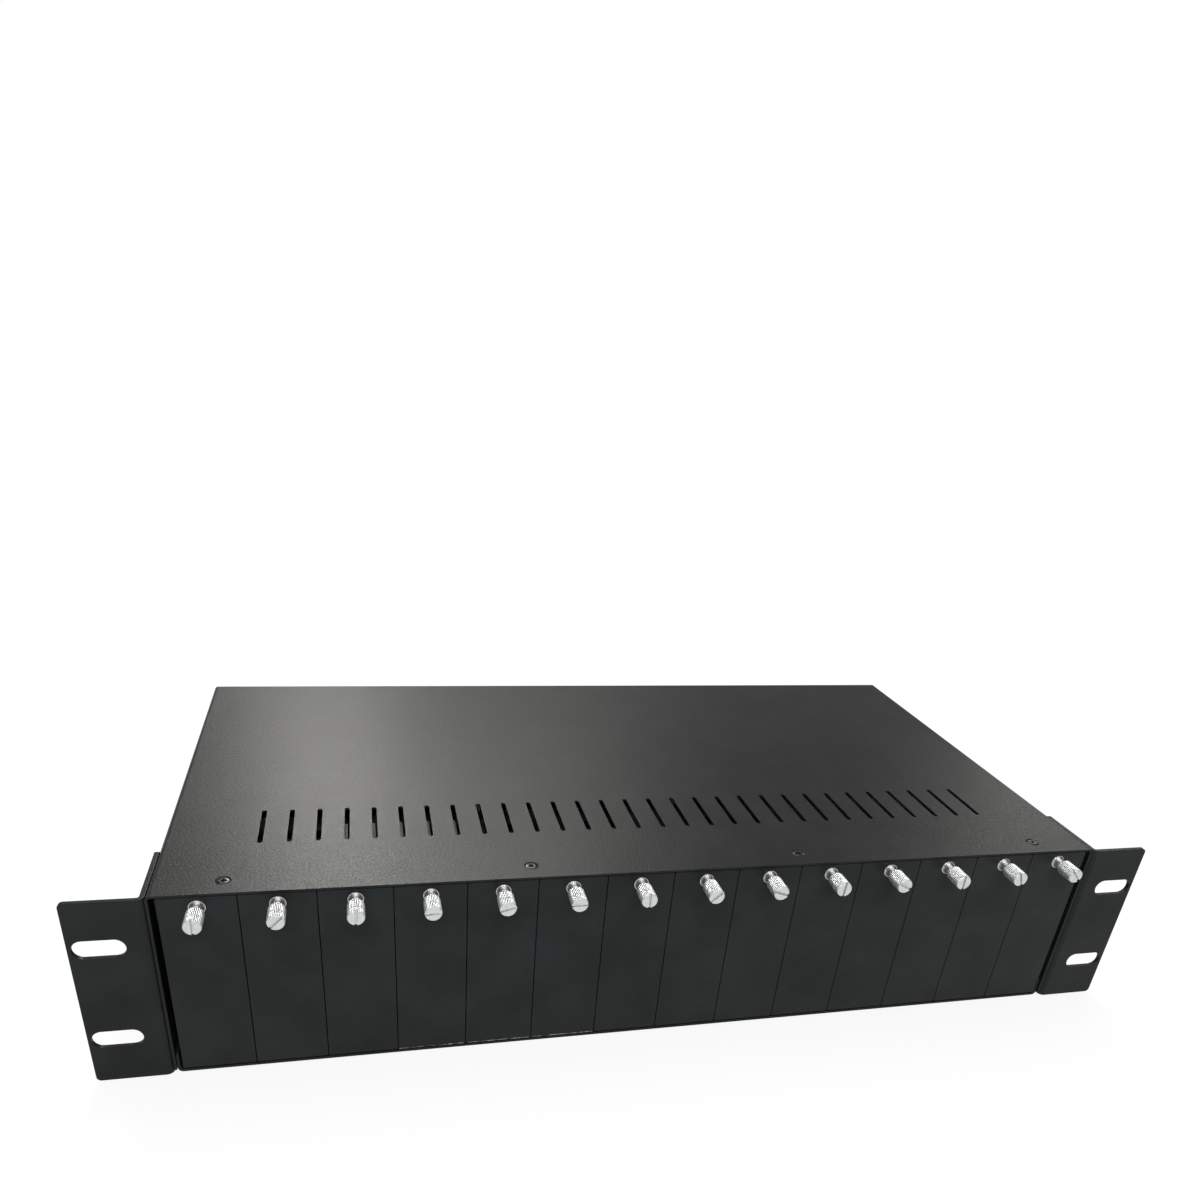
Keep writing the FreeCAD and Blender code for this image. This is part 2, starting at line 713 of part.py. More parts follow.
def power_supply():
    """Right-hand supply in its sheet case, with the terminal step at the front."""
    x = about(supply_x, supply_width)
    z = (tray_sheet, tray_sheet + supply_height)
    step = supply_front_y + supply_step_depth
    side = [(supply_front_y, z[0], 0.0), (supply_rear_y, z[0], 0.0), (supply_rear_y, z[1], supply_corner),
            (step, z[1], supply_corner), (step, z[0] + supply_step_height, 0.0),
            (supply_front_y, z[0] + supply_step_height, 0.0)]
    case = outline(side, on_yz(x[0])).extrude(Vector(supply_width, 0, 0))
    middle_y = (supply_front_y + step) / 2
    ledge = z[0] + supply_step_height
    heads = [rod(terminal_radius, Vector(place, middle_y, ledge), UP, terminal_height)
             for place in spread(terminal_count, terminal_pitch, supply_x)]
    return case.fuse(heads).cut(floor_screw_holes())


def inlet_outline(x, width, height):
    """Rectangle with the two upper corners bevelled, as on a three-pin mains inlet."""
    low_x, high_x = about(x, width)
    low_z, high_z = about(rear_height, height)
    shoulder_z = high_z - inlet_bevel
    return [(low_x, low_z, inlet_edge_radius), (high_x, low_z, inlet_edge_radius), (high_x, shoulder_z, 0.0),
            (high_x - inlet_bevel, high_z, 0.0), (low_x + inlet_bevel, high_z, 0.0), (low_x, shoulder_z, 0.0)]


def inlet_pin_places(x):
    middle = rear_height - inlet_pin_offset / 2
    outer = inlet_pin_spacing / 2
    return [(x - outer, middle), (x + outer, middle), (x, middle + inlet_pin_offset * 2)]


def inlet_pin_block(place):
    """One flat pin, from its tip in the socket to its tail inside the chassis."""
    tip = tray_rear_y + inlet_flange[2] - inlet_pin_recess
    tail = rear_inside_y - inlet_body[2] - inlet_pin_tail
    return block(about(place[0], inlet_pin[0]), (tail, tip), about(place[1], inlet_pin[1]))


def power_inlet(x):
    """Mains inlet moulding: flange on the rear panel, body inside and the socket from behind."""
    face = tray_rear_y + inlet_flange[2]
    flange = rectangle(about(x, inlet_flange[0]), about(rear_height, inlet_flange[1]), inlet_corner)
    inlet = outline(flange, on_xz(tray_rear_y)).extrude(BACKWARD * inlet_flange[2])
    depth = tray_rear_y - rear_inside_y + inlet_body[2]
    body = inlet_outline(x, inlet_body[0], inlet_body[1])
    inlet = inlet.fuse(outline(body, on_xz(tray_rear_y)).extrude(FORWARD * depth)).removeSplitter()
    socket = inlet_outline(x, inlet_socket[0], inlet_socket[1])
    cutters = [outline(socket, on_xz(face)).extrude(FORWARD * inlet_socket[2])]
    for screw_x in spread(2, inlet_screw_spacing, x):
        start = Vector(screw_x, tray_rear_y - 1, rear_height)
        cutters.append(rod(case_screw_hole, start, BACKWARD, inlet_flange[2] + 2))
    cutters += [inlet_pin_block(place) for place in inlet_pin_places(x)]
    return inlet.cut(cutters)


def rocker_axis(x):
    return Vector(x, tray_rear_y, rear_height)


def switch_frame(x):
    """Bezel and box of a rocker switch, open to the rear for the rocker."""
    bezel = rectangle(about(x, switch_bezel[0]), about(rear_height, switch_bezel[1]), switch_corner)
    frame = outline(bezel, on_xz(tray_rear_y)).extrude(BACKWARD * switch_bezel[2])
    body = rectangle(about(x, switch_body[0]), about(rear_height, switch_body[1]))
    depth = tray_rear_y - rear_inside_y + switch_body[2]
    frame = frame.fuse(outline(body, on_xz(tray_rear_y)).extrude(FORWARD * depth)).removeSplitter()
    inside = (switch_body[0] - 2 * switch_wall, switch_body[1] - 2 * switch_wall)
    hollow = rectangle(about(x, inside[0]), about(rear_height, inside[1]))
    reach = switch_bezel[2] + depth - switch_wall
    well = outline(hollow, on_xz(tray_rear_y + switch_bezel[2])).extrude(FORWARD * reach)
    pivot_length = switch_body[0] - 2 * fit_gap
    start = rocker_axis(x) + Vector(pivot_length / 2, 0, 0)
    pivot = rod(rocker_pin_radius + running_gap, start, INWARD, pivot_length)
    return frame.cut([well, pivot])


def switch_rocker(x):
    """Rocker on its two pivot pins, with its upper end pressed in."""
    half = switch_body[1] / 2 - switch_wall - rocker_gap
    width = switch_body[0] - 2 * switch_wall - 2 * rocker_gap
    axis = rocker_axis(x)
    reach = half * math.cos(math.radians(rocker_tilt)) - rocker_rise * math.sin(math.radians(rocker_tilt))
    back = axis.y - rocker_depth
    side = [(back, axis.z - reach / 2, 1.0), (back, axis.z + reach / 2, 1.0),
            (axis.y + rocker_rise, axis.z + reach, 0.4), (axis.y + rocker_rise / 2, axis.z, 0.0),
            (axis.y + rocker_rise, axis.z - reach, 0.4)]
    rocker = outline(side, on_yz(x - width / 2)).extrude(Vector(width, 0, 0))
    pin_half = width / 2 + rocker_pin_length
    pin = rod(rocker_pin_radius, axis + Vector(pin_half, 0, 0), INWARD, 2 * pin_half)
    rocker = rocker.fuse(pin)
    rocker.rotate(axis, Vector(1, 0, 0), rocker_tilt)
    return rocker


def fan_axis(x):
    """Middle of the fan's face on the rear panel."""
    return Vector(x, rear_inside_y, rear_height)


def fan_frame(x):
    """Square frame with a round duct, four struts at the front and the bearing cup that they carry."""
    rear = fan_axis(x)
    front = rear + FORWARD * fan_depth
    square = rectangle(about(x, fan_size), about(rear_height, fan_size), fan_corner)
    frame = outline(square, on_xz(rear.y)).extrude(FORWARD * fan_depth)
    cutters = [rod(fan_bore_radius, rear, FORWARD, fan_depth)]
    for hole_x in spread(2, fan_hole_spacing, x):
        for z in spread(2, fan_hole_spacing, rear_height):
            cutters.append(rod(fan_hole_radius, Vector(hole_x, rear.y, z), FORWARD, fan_depth))
    frame = frame.cut(cutters)
    struts = [rod(fan_hub_radius, front, BACKWARD, fan_cup_depth)]
    for turn in (45, 135):
        span = about(rear_height, 2 * fan_bore_radius + 1)
        strut = block(about(x, fan_strut), (front.y, front.y + fan_strut), span)
        strut.rotate(front, BACKWARD, turn)
        struts.append(strut)
    return frame.fuse(struts).cut(rod(fan_shaft_radius + running_gap, front, BACKWARD, fan_cup_depth))


def fan_rotor(x):
    """Hub with leaning blades, turning on a shaft in the frame's cup."""
    rear = fan_axis(x) + FORWARD * fan_axial_gap * 2
    cup = fan_axis(x) + FORWARD * (fan_depth - fan_cup_depth)
    hub_length = rear.y - cup.y - fan_axial_gap
    chord = (hub_length - fan_axial_gap) / math.sin(math.radians(fan_blade_lean))
    start = Vector(x, cup.y + fan_axial_gap, rear_height)
    rotor = rod(fan_hub_radius, start, BACKWARD, hub_length)
    shaft = rod(fan_shaft_radius, start + FORWARD * fan_cup_depth, BACKWARD, fan_cup_depth)
    middle = start + BACKWARD * (hub_length / 2)
    tip = fan_bore_radius - fan_blade_gap
    blades = []
    for index in range(fan_blade_count):
        flat = about(middle.y, fan_blade_thickness)
        blade = block(about(middle.x, chord - fan_blade_thickness), flat, (middle.z, middle.z + tip))
        blade.rotate(middle, UP, fan_blade_lean)
        blade.rotate(middle, BACKWARD, 360 * index / fan_blade_count)
        blades.append(blade)
    sweep = rod(tip, start + BACKWARD * fan_axial_gap / 2, BACKWARD, hub_length - fan_axial_gap)
    blades = [blade.common(sweep) for blade in blades]
    return rotor.fuse([shaft] + blades)


# Fasteners in groups

def fan_screws():
    places = [Vector(x, tray_rear_y, z) for side in (-1, 1) for x in spread(2, fan_hole_spacing, side * fan_x)
              for z in spread(2, fan_hole_spacing, rear_height)]
    return group([pan_screw(fan_screw_radius, fan_screw_length, place, FORWARD) for place in places])


def inlet_screws():
    face = tray_rear_y + inlet_flange[2]
    places = [Vector(x, face, rear_height) for side in (-1, 1)
              for x in spread(2, inlet_screw_spacing, side * inlet_x)]
    return group([pan_screw(case_screw_radius, case_screw_length, place, FORWARD) for place in places])


def side_screws():
    length = cover_sheet + tray_sheet + 2
    right = [pan_screw(case_screw_radius, length, place, INWARD) for place in side_screw_places()]
    return group(both_sides(right))


def main():
    os.makedirs("parts", exist_ok=True)
    save("base_tray", base_tray())
    save("top_cover", top_cover())
    save("rear_panel", rear_panel())
    ear = rack_ear()
    save("rack_ear_right", ear)
    save("rack_ear_left", mirrored(ear))
    save("front_top_rail", front_top_rail())
    save("front_bottom_rail", front_bottom_rail())
    save("card_guides", group([card_guide(x) for x in spread(slot_count - 1, panel_pitch)]))
    save("dc_board", dc_board())
    save("board_bracket", board_bracket())
    save("board_spacers", group([board_spacer(place) for place in spacer_places()]))
    save("dc_plugs", group([dc_plug(x) for x in panel_places()]))
    supply = power_supply()
    save("power_supply_right", supply)
    save("power_supply_left", mirrored(supply))
    for name, side in (("left", -1), ("right", 1)):
        save("power_inlet_" + name, power_inlet(side * inlet_x))
        save("switch_frame_" + name, switch_frame(side * switch_x))
        save("switch_rocker_" + name, switch_rocker(side * switch_x))
        save("fan_frame_" + name, fan_frame(side * fan_x))
        save("fan_rotor_" + name, fan_rotor(side * fan_x))
    pin_places = inlet_pin_places(-inlet_x) + inlet_pin_places(inlet_x)
    save("inlet_pins", group([inlet_pin_block(place) for place in pin_places]))
    save("cover_screws", group([case_screw(place) for place in case_screw_places()]))
    save("ear_screws", group(both_sides([ear_screw(place) for place in ear_screw_places()])))
    save("side_screws", side_screws())
    save("floor_screws", group([floor_screw(place) for place in floor_screw_places()]))
    save("fan_screws", fan_screws())
    save("inlet_screws", inlet_screws())
    ground = Vector(ground_screw_x, tray_rear_y, ground_screw_height)
    save("ground_screw", pan_screw(case_screw_radius, case_screw_length, ground, FORWARD))
    knob = knurled_knob()
    for number, (x, angle) in enumerate(zip(panel_places(), slot_angles), 1):
        save("filler_panel_%02d" % number, filler_panel(x))
        save("thumbscrew_%02d" % number, thumbscrew(knob, x, angle))


main()
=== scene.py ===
import math

import bmesh
import bpy
from bpy.props import FloatProperty, FloatVectorProperty, IntProperty, PointerProperty
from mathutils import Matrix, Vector


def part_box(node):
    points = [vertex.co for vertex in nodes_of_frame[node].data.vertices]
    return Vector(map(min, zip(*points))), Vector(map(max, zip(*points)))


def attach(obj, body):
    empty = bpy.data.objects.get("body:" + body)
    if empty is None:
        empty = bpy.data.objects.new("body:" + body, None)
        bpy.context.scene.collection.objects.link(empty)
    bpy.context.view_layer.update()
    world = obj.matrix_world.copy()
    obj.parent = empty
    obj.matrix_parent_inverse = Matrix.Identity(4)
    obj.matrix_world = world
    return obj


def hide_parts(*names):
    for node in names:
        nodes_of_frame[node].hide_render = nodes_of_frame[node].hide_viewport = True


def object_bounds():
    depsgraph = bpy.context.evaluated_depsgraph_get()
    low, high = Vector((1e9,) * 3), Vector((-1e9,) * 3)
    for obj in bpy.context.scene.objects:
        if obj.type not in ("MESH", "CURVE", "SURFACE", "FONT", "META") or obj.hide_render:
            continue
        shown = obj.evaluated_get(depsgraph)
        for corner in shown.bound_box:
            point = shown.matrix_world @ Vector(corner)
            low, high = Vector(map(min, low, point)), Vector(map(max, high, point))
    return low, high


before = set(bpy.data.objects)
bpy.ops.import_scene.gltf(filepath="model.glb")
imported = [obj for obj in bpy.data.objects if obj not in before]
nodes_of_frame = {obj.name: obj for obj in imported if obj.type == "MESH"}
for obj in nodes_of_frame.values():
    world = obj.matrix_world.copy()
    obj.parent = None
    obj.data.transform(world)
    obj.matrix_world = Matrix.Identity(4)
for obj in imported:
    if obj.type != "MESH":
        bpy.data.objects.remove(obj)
cad_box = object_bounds()

bl_info = {
    "name": "Media Converter Chassis",
    "version": (1, 0, 0),
    "blender": (4, 5, 0),
    "location": "3D View > Sidebar > Chassis",
    "description": "Finishes a 19-inch rack chassis with filler panels and captive thumbscrews",
    "category": "Object",
}

UP = Vector((0, 0, 1))
FORWARD = Vector((0, -1, 0))
BACKWARD = Vector((0, 1, 0))

# Meshes
JOIN_DISTANCE = 1e-6
FLAT_ANGLE = math.radians(1)
EDGE_ANGLE = math.radians(32)
SMOOTH_ANGLE = math.radians(38)

# Filler panels
PEG_ROOT = 0.0003  # how far a peg reaches into its panel
PEG_TAPER = 0.85  # share of a peg's length where its tip starts
PEG_TIP = 0.8  # radius of that tip against the peg's
# Waist of a ferrule from its foot to its tip, as shares of its slope and of its length
FERRULE_WAIST = ((0, 0), (0.55, 0.22), (0.9, 0.5), (1.0, 0.72), (0.95, 0.86), (1.0, 1.0))
FERRULE_EDGE = 0.00008

# Thumbscrews
RIDGE_SIDES = 6  # sides of a ridge of the knurl
SIDE_SLACK = 0.25  # how far beside a side its points may lie, in sides
KNOB_START = 0.9  # where the knob's back starts inside the neck, against the neck's radius
BAND_FLOOR = 0.5  # flat bottom of the turned band against its width
SLOT_OVERRUN = 1.2  # length of the cutter of a slot against the knob's width
DEEPEST_GROOVE = 1.4  # what lies deeper isn't knurled, against the knurl's depth
FACE_SHARE = 0.6  # share of the chamfer that belongs to the knob's face
SLOT_FLOOR = 0.1  # what lies this near to the slot's bottom isn't knurled, against the slot's depth
TIP_SHARE = 0.7  # radius of a screw's tip against its shank's
THREAD_TIP = 0.0004
THREAD_START = 0.0006  # from the thread's end to its first turn
PLAIN_SHANK = 0.0055  # between the last turn and the neck
THREAD_GROOVE = 0.35  # depth of a turn against the pitch
KNOB_EDGE = 0.00005

# Small screws: node, axis, side that they face (nought is outwards) and whether their heads are flat
BLACK_SCREWS = (
    ("cover_screws", "Z", 1, True),
    ("floor_screws", "Z", -1, True),
    ("ear_screws", "X", 0, True),
    ("side_screws", "X", 0, False),
    ("fan_screws", "Y", 1, False),
    ("inlet_screws", "Y", 1, False),
)
FIRST_TURN = 12  # degrees that the first screw of a node is turned
NEXT_TURN = 37  # degrees from one screw to the next
SHANK_SHARE = 0.5  # shank against the head's radius
TIP_CHAMFER = 0.3  # length of a screw's tip against its shank's radius
RECESS_TAPER = 0.72  # width of a recess's cutter at its lower end against its upper end
HEAD_EDGE = 0.03  # rounding against the head's radius
# Heads from the rim inwards: a radius against the head's, and a depth against the head's radius
# or, on a pan head, against its rise
FLAT_HEAD = ((0.98, 0.2), (0.9, 0.19), (0.86, 0.07), (0.72, 0.02), (0.45, 0))
FLAT_UNDERSIDE = 0.5  # depth of a flat head against its radius
PAN_HEAD = ((1, 1), (1, 0.5), (0.93, 0.22), (0.78, 0.06), (0.6, 0))
PAN_RISE = 0.64  # height of a pan head against its radius

# Rear fittings
PIN_EDGE = 0.0003
MARK_LINE = (0.0007, 0.0036, 0.0001)  # width, length and height of the bar on a rocker
MARK_RING = 0.0018  # radius of the ring on a rocker
MARK_HOLE = 0.0012  # radius of the hole in that ring
HOLE_REACH = 0.001  # of that hole's cutter, to either side
MARK_EDGE = 0.00003
FACING = 0.7  # a face whose normal has this share of an axis faces along it

# Materials
NOISE_RANGE = (0.3, 0.7)  # where most of a noise lies
COAT_CLOUD = 20  # size of the coat's clouds against its grain
COAT_RELIEF = 0.09  # depth of the grain against its size
COAT_SWAY = 0.05  # how far the roughness goes up and down
CHIP_SIZE = 8  # size of the chips against the height of the worn edge
CHIP_SWAY = 3  # how far their border goes up and down, against the same height
CHIP_BORDER = 0.6  # where their border starts, against the same height
TURNED = (1, 0.12, 1)  # machining marks, drawn out from front to rear
ROLLED = (0.03, 1, 1)  # marks of rolling, drawn out from left to right
PLATE_DULLNESS = (0.75, 1.3)  # lowest and highest roughness against the given one
ZINC_ROUGHNESS = (0.3, 0.48)
PAINTED_GROOVE_SHADE = ((0.3, 1.0), (0.85, 0.12))  # depth in the knurl, with the share of the colour left there, as painted shade
MOULDING_SWAY = 0.06  # how far the roughness goes up and down
COPPER_BORDER = (0.46, 0.5)  # levels of noise between the plain board and copper
RUBBED = (0.56, 0.74)  # levels of noise between black oxide and rubbed steel
RUBBED_SHINE = ((0.4, 0.32), (0.7, 0.2))  # levels of the same noise, each with its roughness
MOULDING_BLACK = (0.012, 0.012, 0.0125, 1)
ROCKER_BLACK = (0.009, 0.009, 0.0095, 1)
MARK_WHITE = (0.7, 0.7, 0.68, 1)
NYLON_WHITE = (0.7, 0.7, 0.66, 1)
SUPPLY_GREY = (0.6, 0.61, 0.62, 1)
ZINC_GREYS = ((0.44, 0.45, 0.47, 1), (0.6, 0.61, 0.62, 1))
BOARD_GREEN = (0.012, 0.085, 0.03, 1)
COPPER_GREEN = (0.02, 0.15, 0.055, 1)
RUBBED_STEEL = (0.07, 0.07, 0.07, 1)

# Stage: name of a light, setting of its power, place, width and height, and whether it is warm
LIGHTS = (
    ("top light", "top_power", (0, 0.3, 1.3), (1.3, 0.9), False),
    ("rear light", "rear_power", (-0.215, 1.42, 1.1), (0.2, 0.6), True),
    ("rear fill", "fill_power", (0.16, 1.33, 1.22), (0.44, 0.6), True),
    ("side light", "side_power", (1.22, 1.0, 0.8), (0.3, 0.5), True),
    ("front light", "front_power", (-0.2, -1.3, 1.25), (1.2, 0.8), False),
)
WHITE = (1, 1, 1, 1)
SENSOR_WIDTH = 36
NEAREST = 0.01  # what is nearer to the camera isn't shown
FLOOR_SIZE = 12
FLOOR_GAP = 0.0002  # below the object
FLOOR_GREY = (0.8, 0.8, 0.8, 1)
SHADOW_START = 0.2  # where the floor starts to turn white

panel_numbers = [name[-2:] for name in sorted(nodes_of_frame) if name.startswith("filler_panel_")]
body_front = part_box("top_cover")[0].y


# Settings that a user would change

class CoatSettings(bpy.types.PropertyGroup):
    """Black powder coat of the sheet metal."""

    colour: FloatVectorProperty(
        name="Coat Colour", description="Black powder coat of the cover, tray and rear panel",
        subtype="COLOR", size=4, min=0, max=1, default=(0.0095, 0.0102, 0.0102, 1))
    front_colour: FloatVectorProperty(
        name="Front Colour", description="Black powder coat of the panels, ears and rails",
        subtype="COLOR", size=4, min=0, max=1, default=(0.0118, 0.0139, 0.0139, 1))
    roughness: FloatProperty(
        name="Coat Roughness", description="How matt the coat is",
        subtype="FACTOR", min=0, max=1, default=0.38)
    gloss: FloatProperty(
        name="Coat Gloss", description="Strength of the coat's reflection",
        subtype="FACTOR", min=0, max=1, default=0.12)
    ear_gloss: FloatProperty(
        name="Ear Gloss", description="Strength of the ears' reflection",
        subtype="FACTOR", min=0, max=1, default=0.085)
    # The rails' duller gloss paints the shade that the top rail's tongues lie in under the cover
    shaded_rail_gloss: FloatProperty(
        name="Rail Gloss", description="Strength of the rails' reflection",
        subtype="FACTOR", min=0, max=1, default=0.03)
    grain: FloatProperty(
        name="Grain Size", description="Size of the coat's fine grain",
        unit="LENGTH", default=0.001)
    edge: FloatProperty(
        name="Edge Radius", description="Rounding that the coat gives to cut edges",
        unit="LENGTH", default=0.00022)
    cover_edge: FloatProperty(
        name="Cover Edge Radius", description="Rounding of the cover's edges and cooling slots",
        unit="LENGTH", min=0, default=0.0001)
    bare: FloatVectorProperty(
        name="Bare Metal", description="Steel that shows where the coat is chipped",
        subtype="COLOR", size=4, min=0, max=1, default=(0.62, 0.62, 0.6, 1))


class PanelSettings(bpy.types.PropertyGroup):
    """Filler panels and their ferrules."""

    thickness: FloatProperty(
        name="Panel Thickness", description="Sheet of the filler panels",
        unit="LENGTH", default=0.0015)
    corner: FloatProperty(
        name="Panel Corner", description="Rounding of a panel's corners",
        unit="LENGTH", default=0.0006)
    peg_radius: FloatProperty(
        name="Peg Radius", description="Locating pegs behind a panel",
        unit="LENGTH", default=0.0015)
    peg_spacing: FloatProperty(
        name="Peg Spacing", description="Between the two pegs",
        unit="LENGTH", default=0.016)
    peg_height: FloatProperty(
        name="Peg Height", description="Pegs above the panel's lower edge",
        unit="LENGTH", default=0.0046)
    flange_radius: FloatProperty(
        name="Ferrule Flange", description="Radius of the ferrule's foot",
        unit="LENGTH", default=0.0032)
    flange_height: FloatProperty(
        name="Flange Height", description="Thickness of the ferrule's foot",
        unit="LENGTH", default=0.0005)
    base_radius: FloatProperty(
        name="Ferrule Base", description="Ferrule above its foot",
        unit="LENGTH", default=0.003)
    tip_radius: FloatProperty(
        name="Ferrule Tip", description="Ferrule at its front end",
        unit="LENGTH", default=0.0024)
    bore_radius: FloatProperty(
        name="Ferrule Bore", description="Hole for the thumbscrew",
        unit="LENGTH", default=0.00156)
    roughness: FloatProperty(
        name="Panel Roughness", description="How matt a panel's coat is",
        subtype="FACTOR", min=0, max=1, default=0.34)
    gloss: FloatProperty(
        name="Panel Gloss", description="Strength of a panel's reflection",
        subtype="FACTOR", min=0, max=1, default=0.1)
    worn_first: IntProperty(
        name="First Worn Panel", description="First panel with a chipped lower edge",
        min=1, default=4)
    worn_last: IntProperty(
        name="Last Worn Panel", description="Last panel with a chipped lower edge",
        min=1, default=6)
    wear: FloatProperty(
        name="Chipped Edge", description="Height of the chipped lower edge",
        unit="LENGTH", default=0.00026)


class ThumbscrewSettings(bpy.types.PropertyGroup):
    """Captive thumbscrews with a knurled knob."""

    knob_length: FloatProperty(
        name="Knob Length", description="Length of the knurled knob",
        unit="LENGTH", default=0.0092)
    neck_length: FloatProperty(
        name="Neck Length", description="Neck between knob and ferrule",
        unit="LENGTH", default=0.0014)
    neck_radius: FloatProperty(
        name="Neck Radius", description="Radius of the neck",
        unit="LENGTH", default=0.002)
    thread_radius: FloatProperty(
        name="Thread Radius", description="Radius over the thread",
        unit="LENGTH", default=0.0015)
    thread_pitch: FloatProperty(
        name="Thread Pitch", description="Distance between the thread's turns",
        unit="LENGTH", default=0.0005)
    knurl_count: IntProperty(name="Knurl Count", description="Grooves round the knob", min=8, default=30)
    knurl_depth: FloatProperty(
        name="Knurl Depth", description="Depth of the grooves",
        unit="LENGTH", default=0.00024)
    chamfer: FloatProperty(
        name="Chamfer", description="Chamfer at the knob's ends",
        unit="LENGTH", default=0.0003)
    band_place: FloatProperty(
        name="Band Place", description="Turned band behind the knob's face",
        unit="LENGTH", default=0.0041)
    band_width: FloatProperty(
        name="Band Width", description="Width of the turned band",
        unit="LENGTH", default=0.0003)
    band_depth: FloatProperty(
        name="Band Depth", description="Depth of the turned band",
        unit="LENGTH", default=0.00014)
    slot_width: FloatProperty(
        name="Slot Width", description="Width of the driver slot",
        unit="LENGTH", default=0.0011)
    slot_depth: FloatProperty(
        name="Slot Depth", description="Depth of the driver slot",
        unit="LENGTH", default=0.001)
    slot_turns: FloatVectorProperty(
        name="Slot Turns", description="Turn of each slot from upright, left to right",
        unit="ROTATION", size=14,
        default=tuple(map(math.radians, (0, 45, 5, 85, 75, 88, 0, 48, -72, 4, -62, 0, -18, -42))))
    metallic: FloatProperty(
        name="Knob Metallic", description="Share of the knobs' mirror-like reflection, the rest is dull",
        subtype="FACTOR", min=0, max=1, default=0.8)
    knob_colour: FloatVectorProperty(
        name="Knob Colour", description="Colour of the knobs' nickel plate",
        subtype="COLOR", size=4, min=0, max=1, default=(0.585, 0.6, 0.6, 1))
    colour: FloatVectorProperty(
        name="Nickel Colour", description="Colour of the nickel plate",
        subtype="COLOR", size=4, min=0, max=1, default=(0.58, 0.58, 0.57, 1))
    roughness: FloatProperty(
        name="Nickel Roughness", description="How dull the plate is",
        subtype="FACTOR", min=0, max=1, default=0.42)


class ScrewSettings(bpy.types.PropertyGroup):
    """Small cross-recess screws."""

    recess_width: FloatProperty(
        name="Recess Width", description="Width of a recess arm against the head's radius",
        default=0.3)
    recess_length: FloatProperty(
        name="Recess Length", description="Length of a recess arm against the head's radius",
        default=1.15)
    recess_depth: FloatProperty(
        name="Recess Depth", description="Depth of the recess against the head's radius",
        default=0.5)
    colour: FloatVectorProperty(
        name="Screw Colour", description="Colour of the black oxide",
        subtype="COLOR", size=4, min=0, max=1, default=(0.009, 0.009, 0.0095, 1))


class StageSettings(bpy.types.PropertyGroup):
    """Camera, lights and floor."""

    camera_place: FloatVectorProperty(
        name="Camera Place", description="Where the camera stands",
        subtype="TRANSLATION", size=3, default=(-0.1264, -0.4433, 0.2948))
    camera_turn: FloatVectorProperty(
        name="Camera Turn", description="How the camera is turned",
        subtype="EULER", size=3, default=tuple(map(math.radians, (60.967, -4.589, -12.933))))
    lens: FloatProperty(
        name="Focal Length", description="Focal length on a 36 mm wide sensor",
        unit="CAMERA", default=28.443)
    shift: FloatProperty(name="Vertical Shift", description="Upward shift of the lens", default=0.2)
    world_level: FloatProperty(name="World Level", description="Light from all round", min=0, default=0.35)
    backdrop_top: FloatProperty(
        name="Backdrop Top", description="How high the white surroundings reach in reflections",
        subtype="ANGLE", unit="ROTATION", default=math.radians(7))
    ceiling_level: FloatProperty(
        name="Ceiling Level", description="What reflections show above the white surroundings",
        subtype="FACTOR", min=0, max=1, default=0.1)
    shadow: FloatProperty(
        name="Floor Shadow", description="How much of the object's shadow the floor shows",
        subtype="FACTOR", min=0, max=1, default=0.15)
    shadow_reach: FloatProperty(
        name="Shadow Reach", description="Where the floor has turned plain white",
        unit="LENGTH", default=0.75)
    top_power: FloatProperty(
        name="Top Light", description="Wide soft light above the object",
        unit="POWER", default=11.0)
    rear_power: FloatProperty(
        name="Rear Light", description="Narrow light behind the object",
        unit="POWER", default=12.0)
    fill_power: FloatProperty(
        name="Rear Fill", description="Wide light beside the rear light",
        unit="POWER", default=8.0)
    side_power: FloatProperty(
        name="Side Light", description="Light behind the right-hand end",
        unit="POWER", default=2.2)
    warmth: FloatVectorProperty(
        name="Rear Light Colour", description="Colour of the lights behind the object",
        subtype="COLOR", size=3, min=0, max=1, default=(1.0, 0.985, 0.94))
    front_power: FloatProperty(
        name="Front Light", description="Soft light at the front",
        unit="POWER", default=25.0)


# Working on a piece

def activate(piece):
    """Makes one piece the only selected and the active one."""
    bpy.ops.object.select_all(action="DESELECT")
    piece.select_set(True)
    bpy.context.view_layer.objects.active = piece


def added(name):
    """Names the primitive that was just added and puts its place into its mesh."""
    piece = bpy.context.active_object
    piece.name = name
    piece.data.name = name
    bpy.ops.object.transform_apply(location=True, rotation=True, scale=True)
    return piece


def edit(piece, select=None):
    """Opens a piece in edit mode with all of it selected, or only the vertices that pass a test."""
    activate(piece)
    bpy.ops.object.mode_set(mode="EDIT")
    bpy.ops.mesh.select_mode(type="VERT")
    bpy.ops.mesh.select_all(action="SELECT")
    if select:
        bpy.ops.mesh.select_all(action="DESELECT")
        mesh = bmesh.from_edit_mesh(piece.data)
        for vertex in mesh.verts:
            vertex.select_set(select(vertex.co))
        mesh.select_flush_mode()
        bmesh.update_edit_mesh(piece.data)


def edit_edges(piece, select):
    """Opens a piece in edit mode with only the edges selected whose two ends pass a test."""
    edit(piece, lambda point: False)
    bpy.ops.mesh.select_mode(type="EDGE")
    mesh = bmesh.from_edit_mesh(piece.data)
    for edge in mesh.edges:
        edge.select_set(select(*(vertex.co for vertex in edge.verts)))
    bmesh.update_edit_mesh(piece.data)


def close():
    """Goes back to object mode."""
    bpy.ops.object.mode_set(mode="OBJECT")


def apply_modifier(piece, kind, **values):
    """Adds a modifier with its values and applies it."""
    activate(piece)
    modifier = piece.modifiers.new(kind.title(), kind)
    for key, value in values.items():
        setattr(modifier, key, value)
    bpy.ops.object.modifier_apply(modifier=modifier.name)


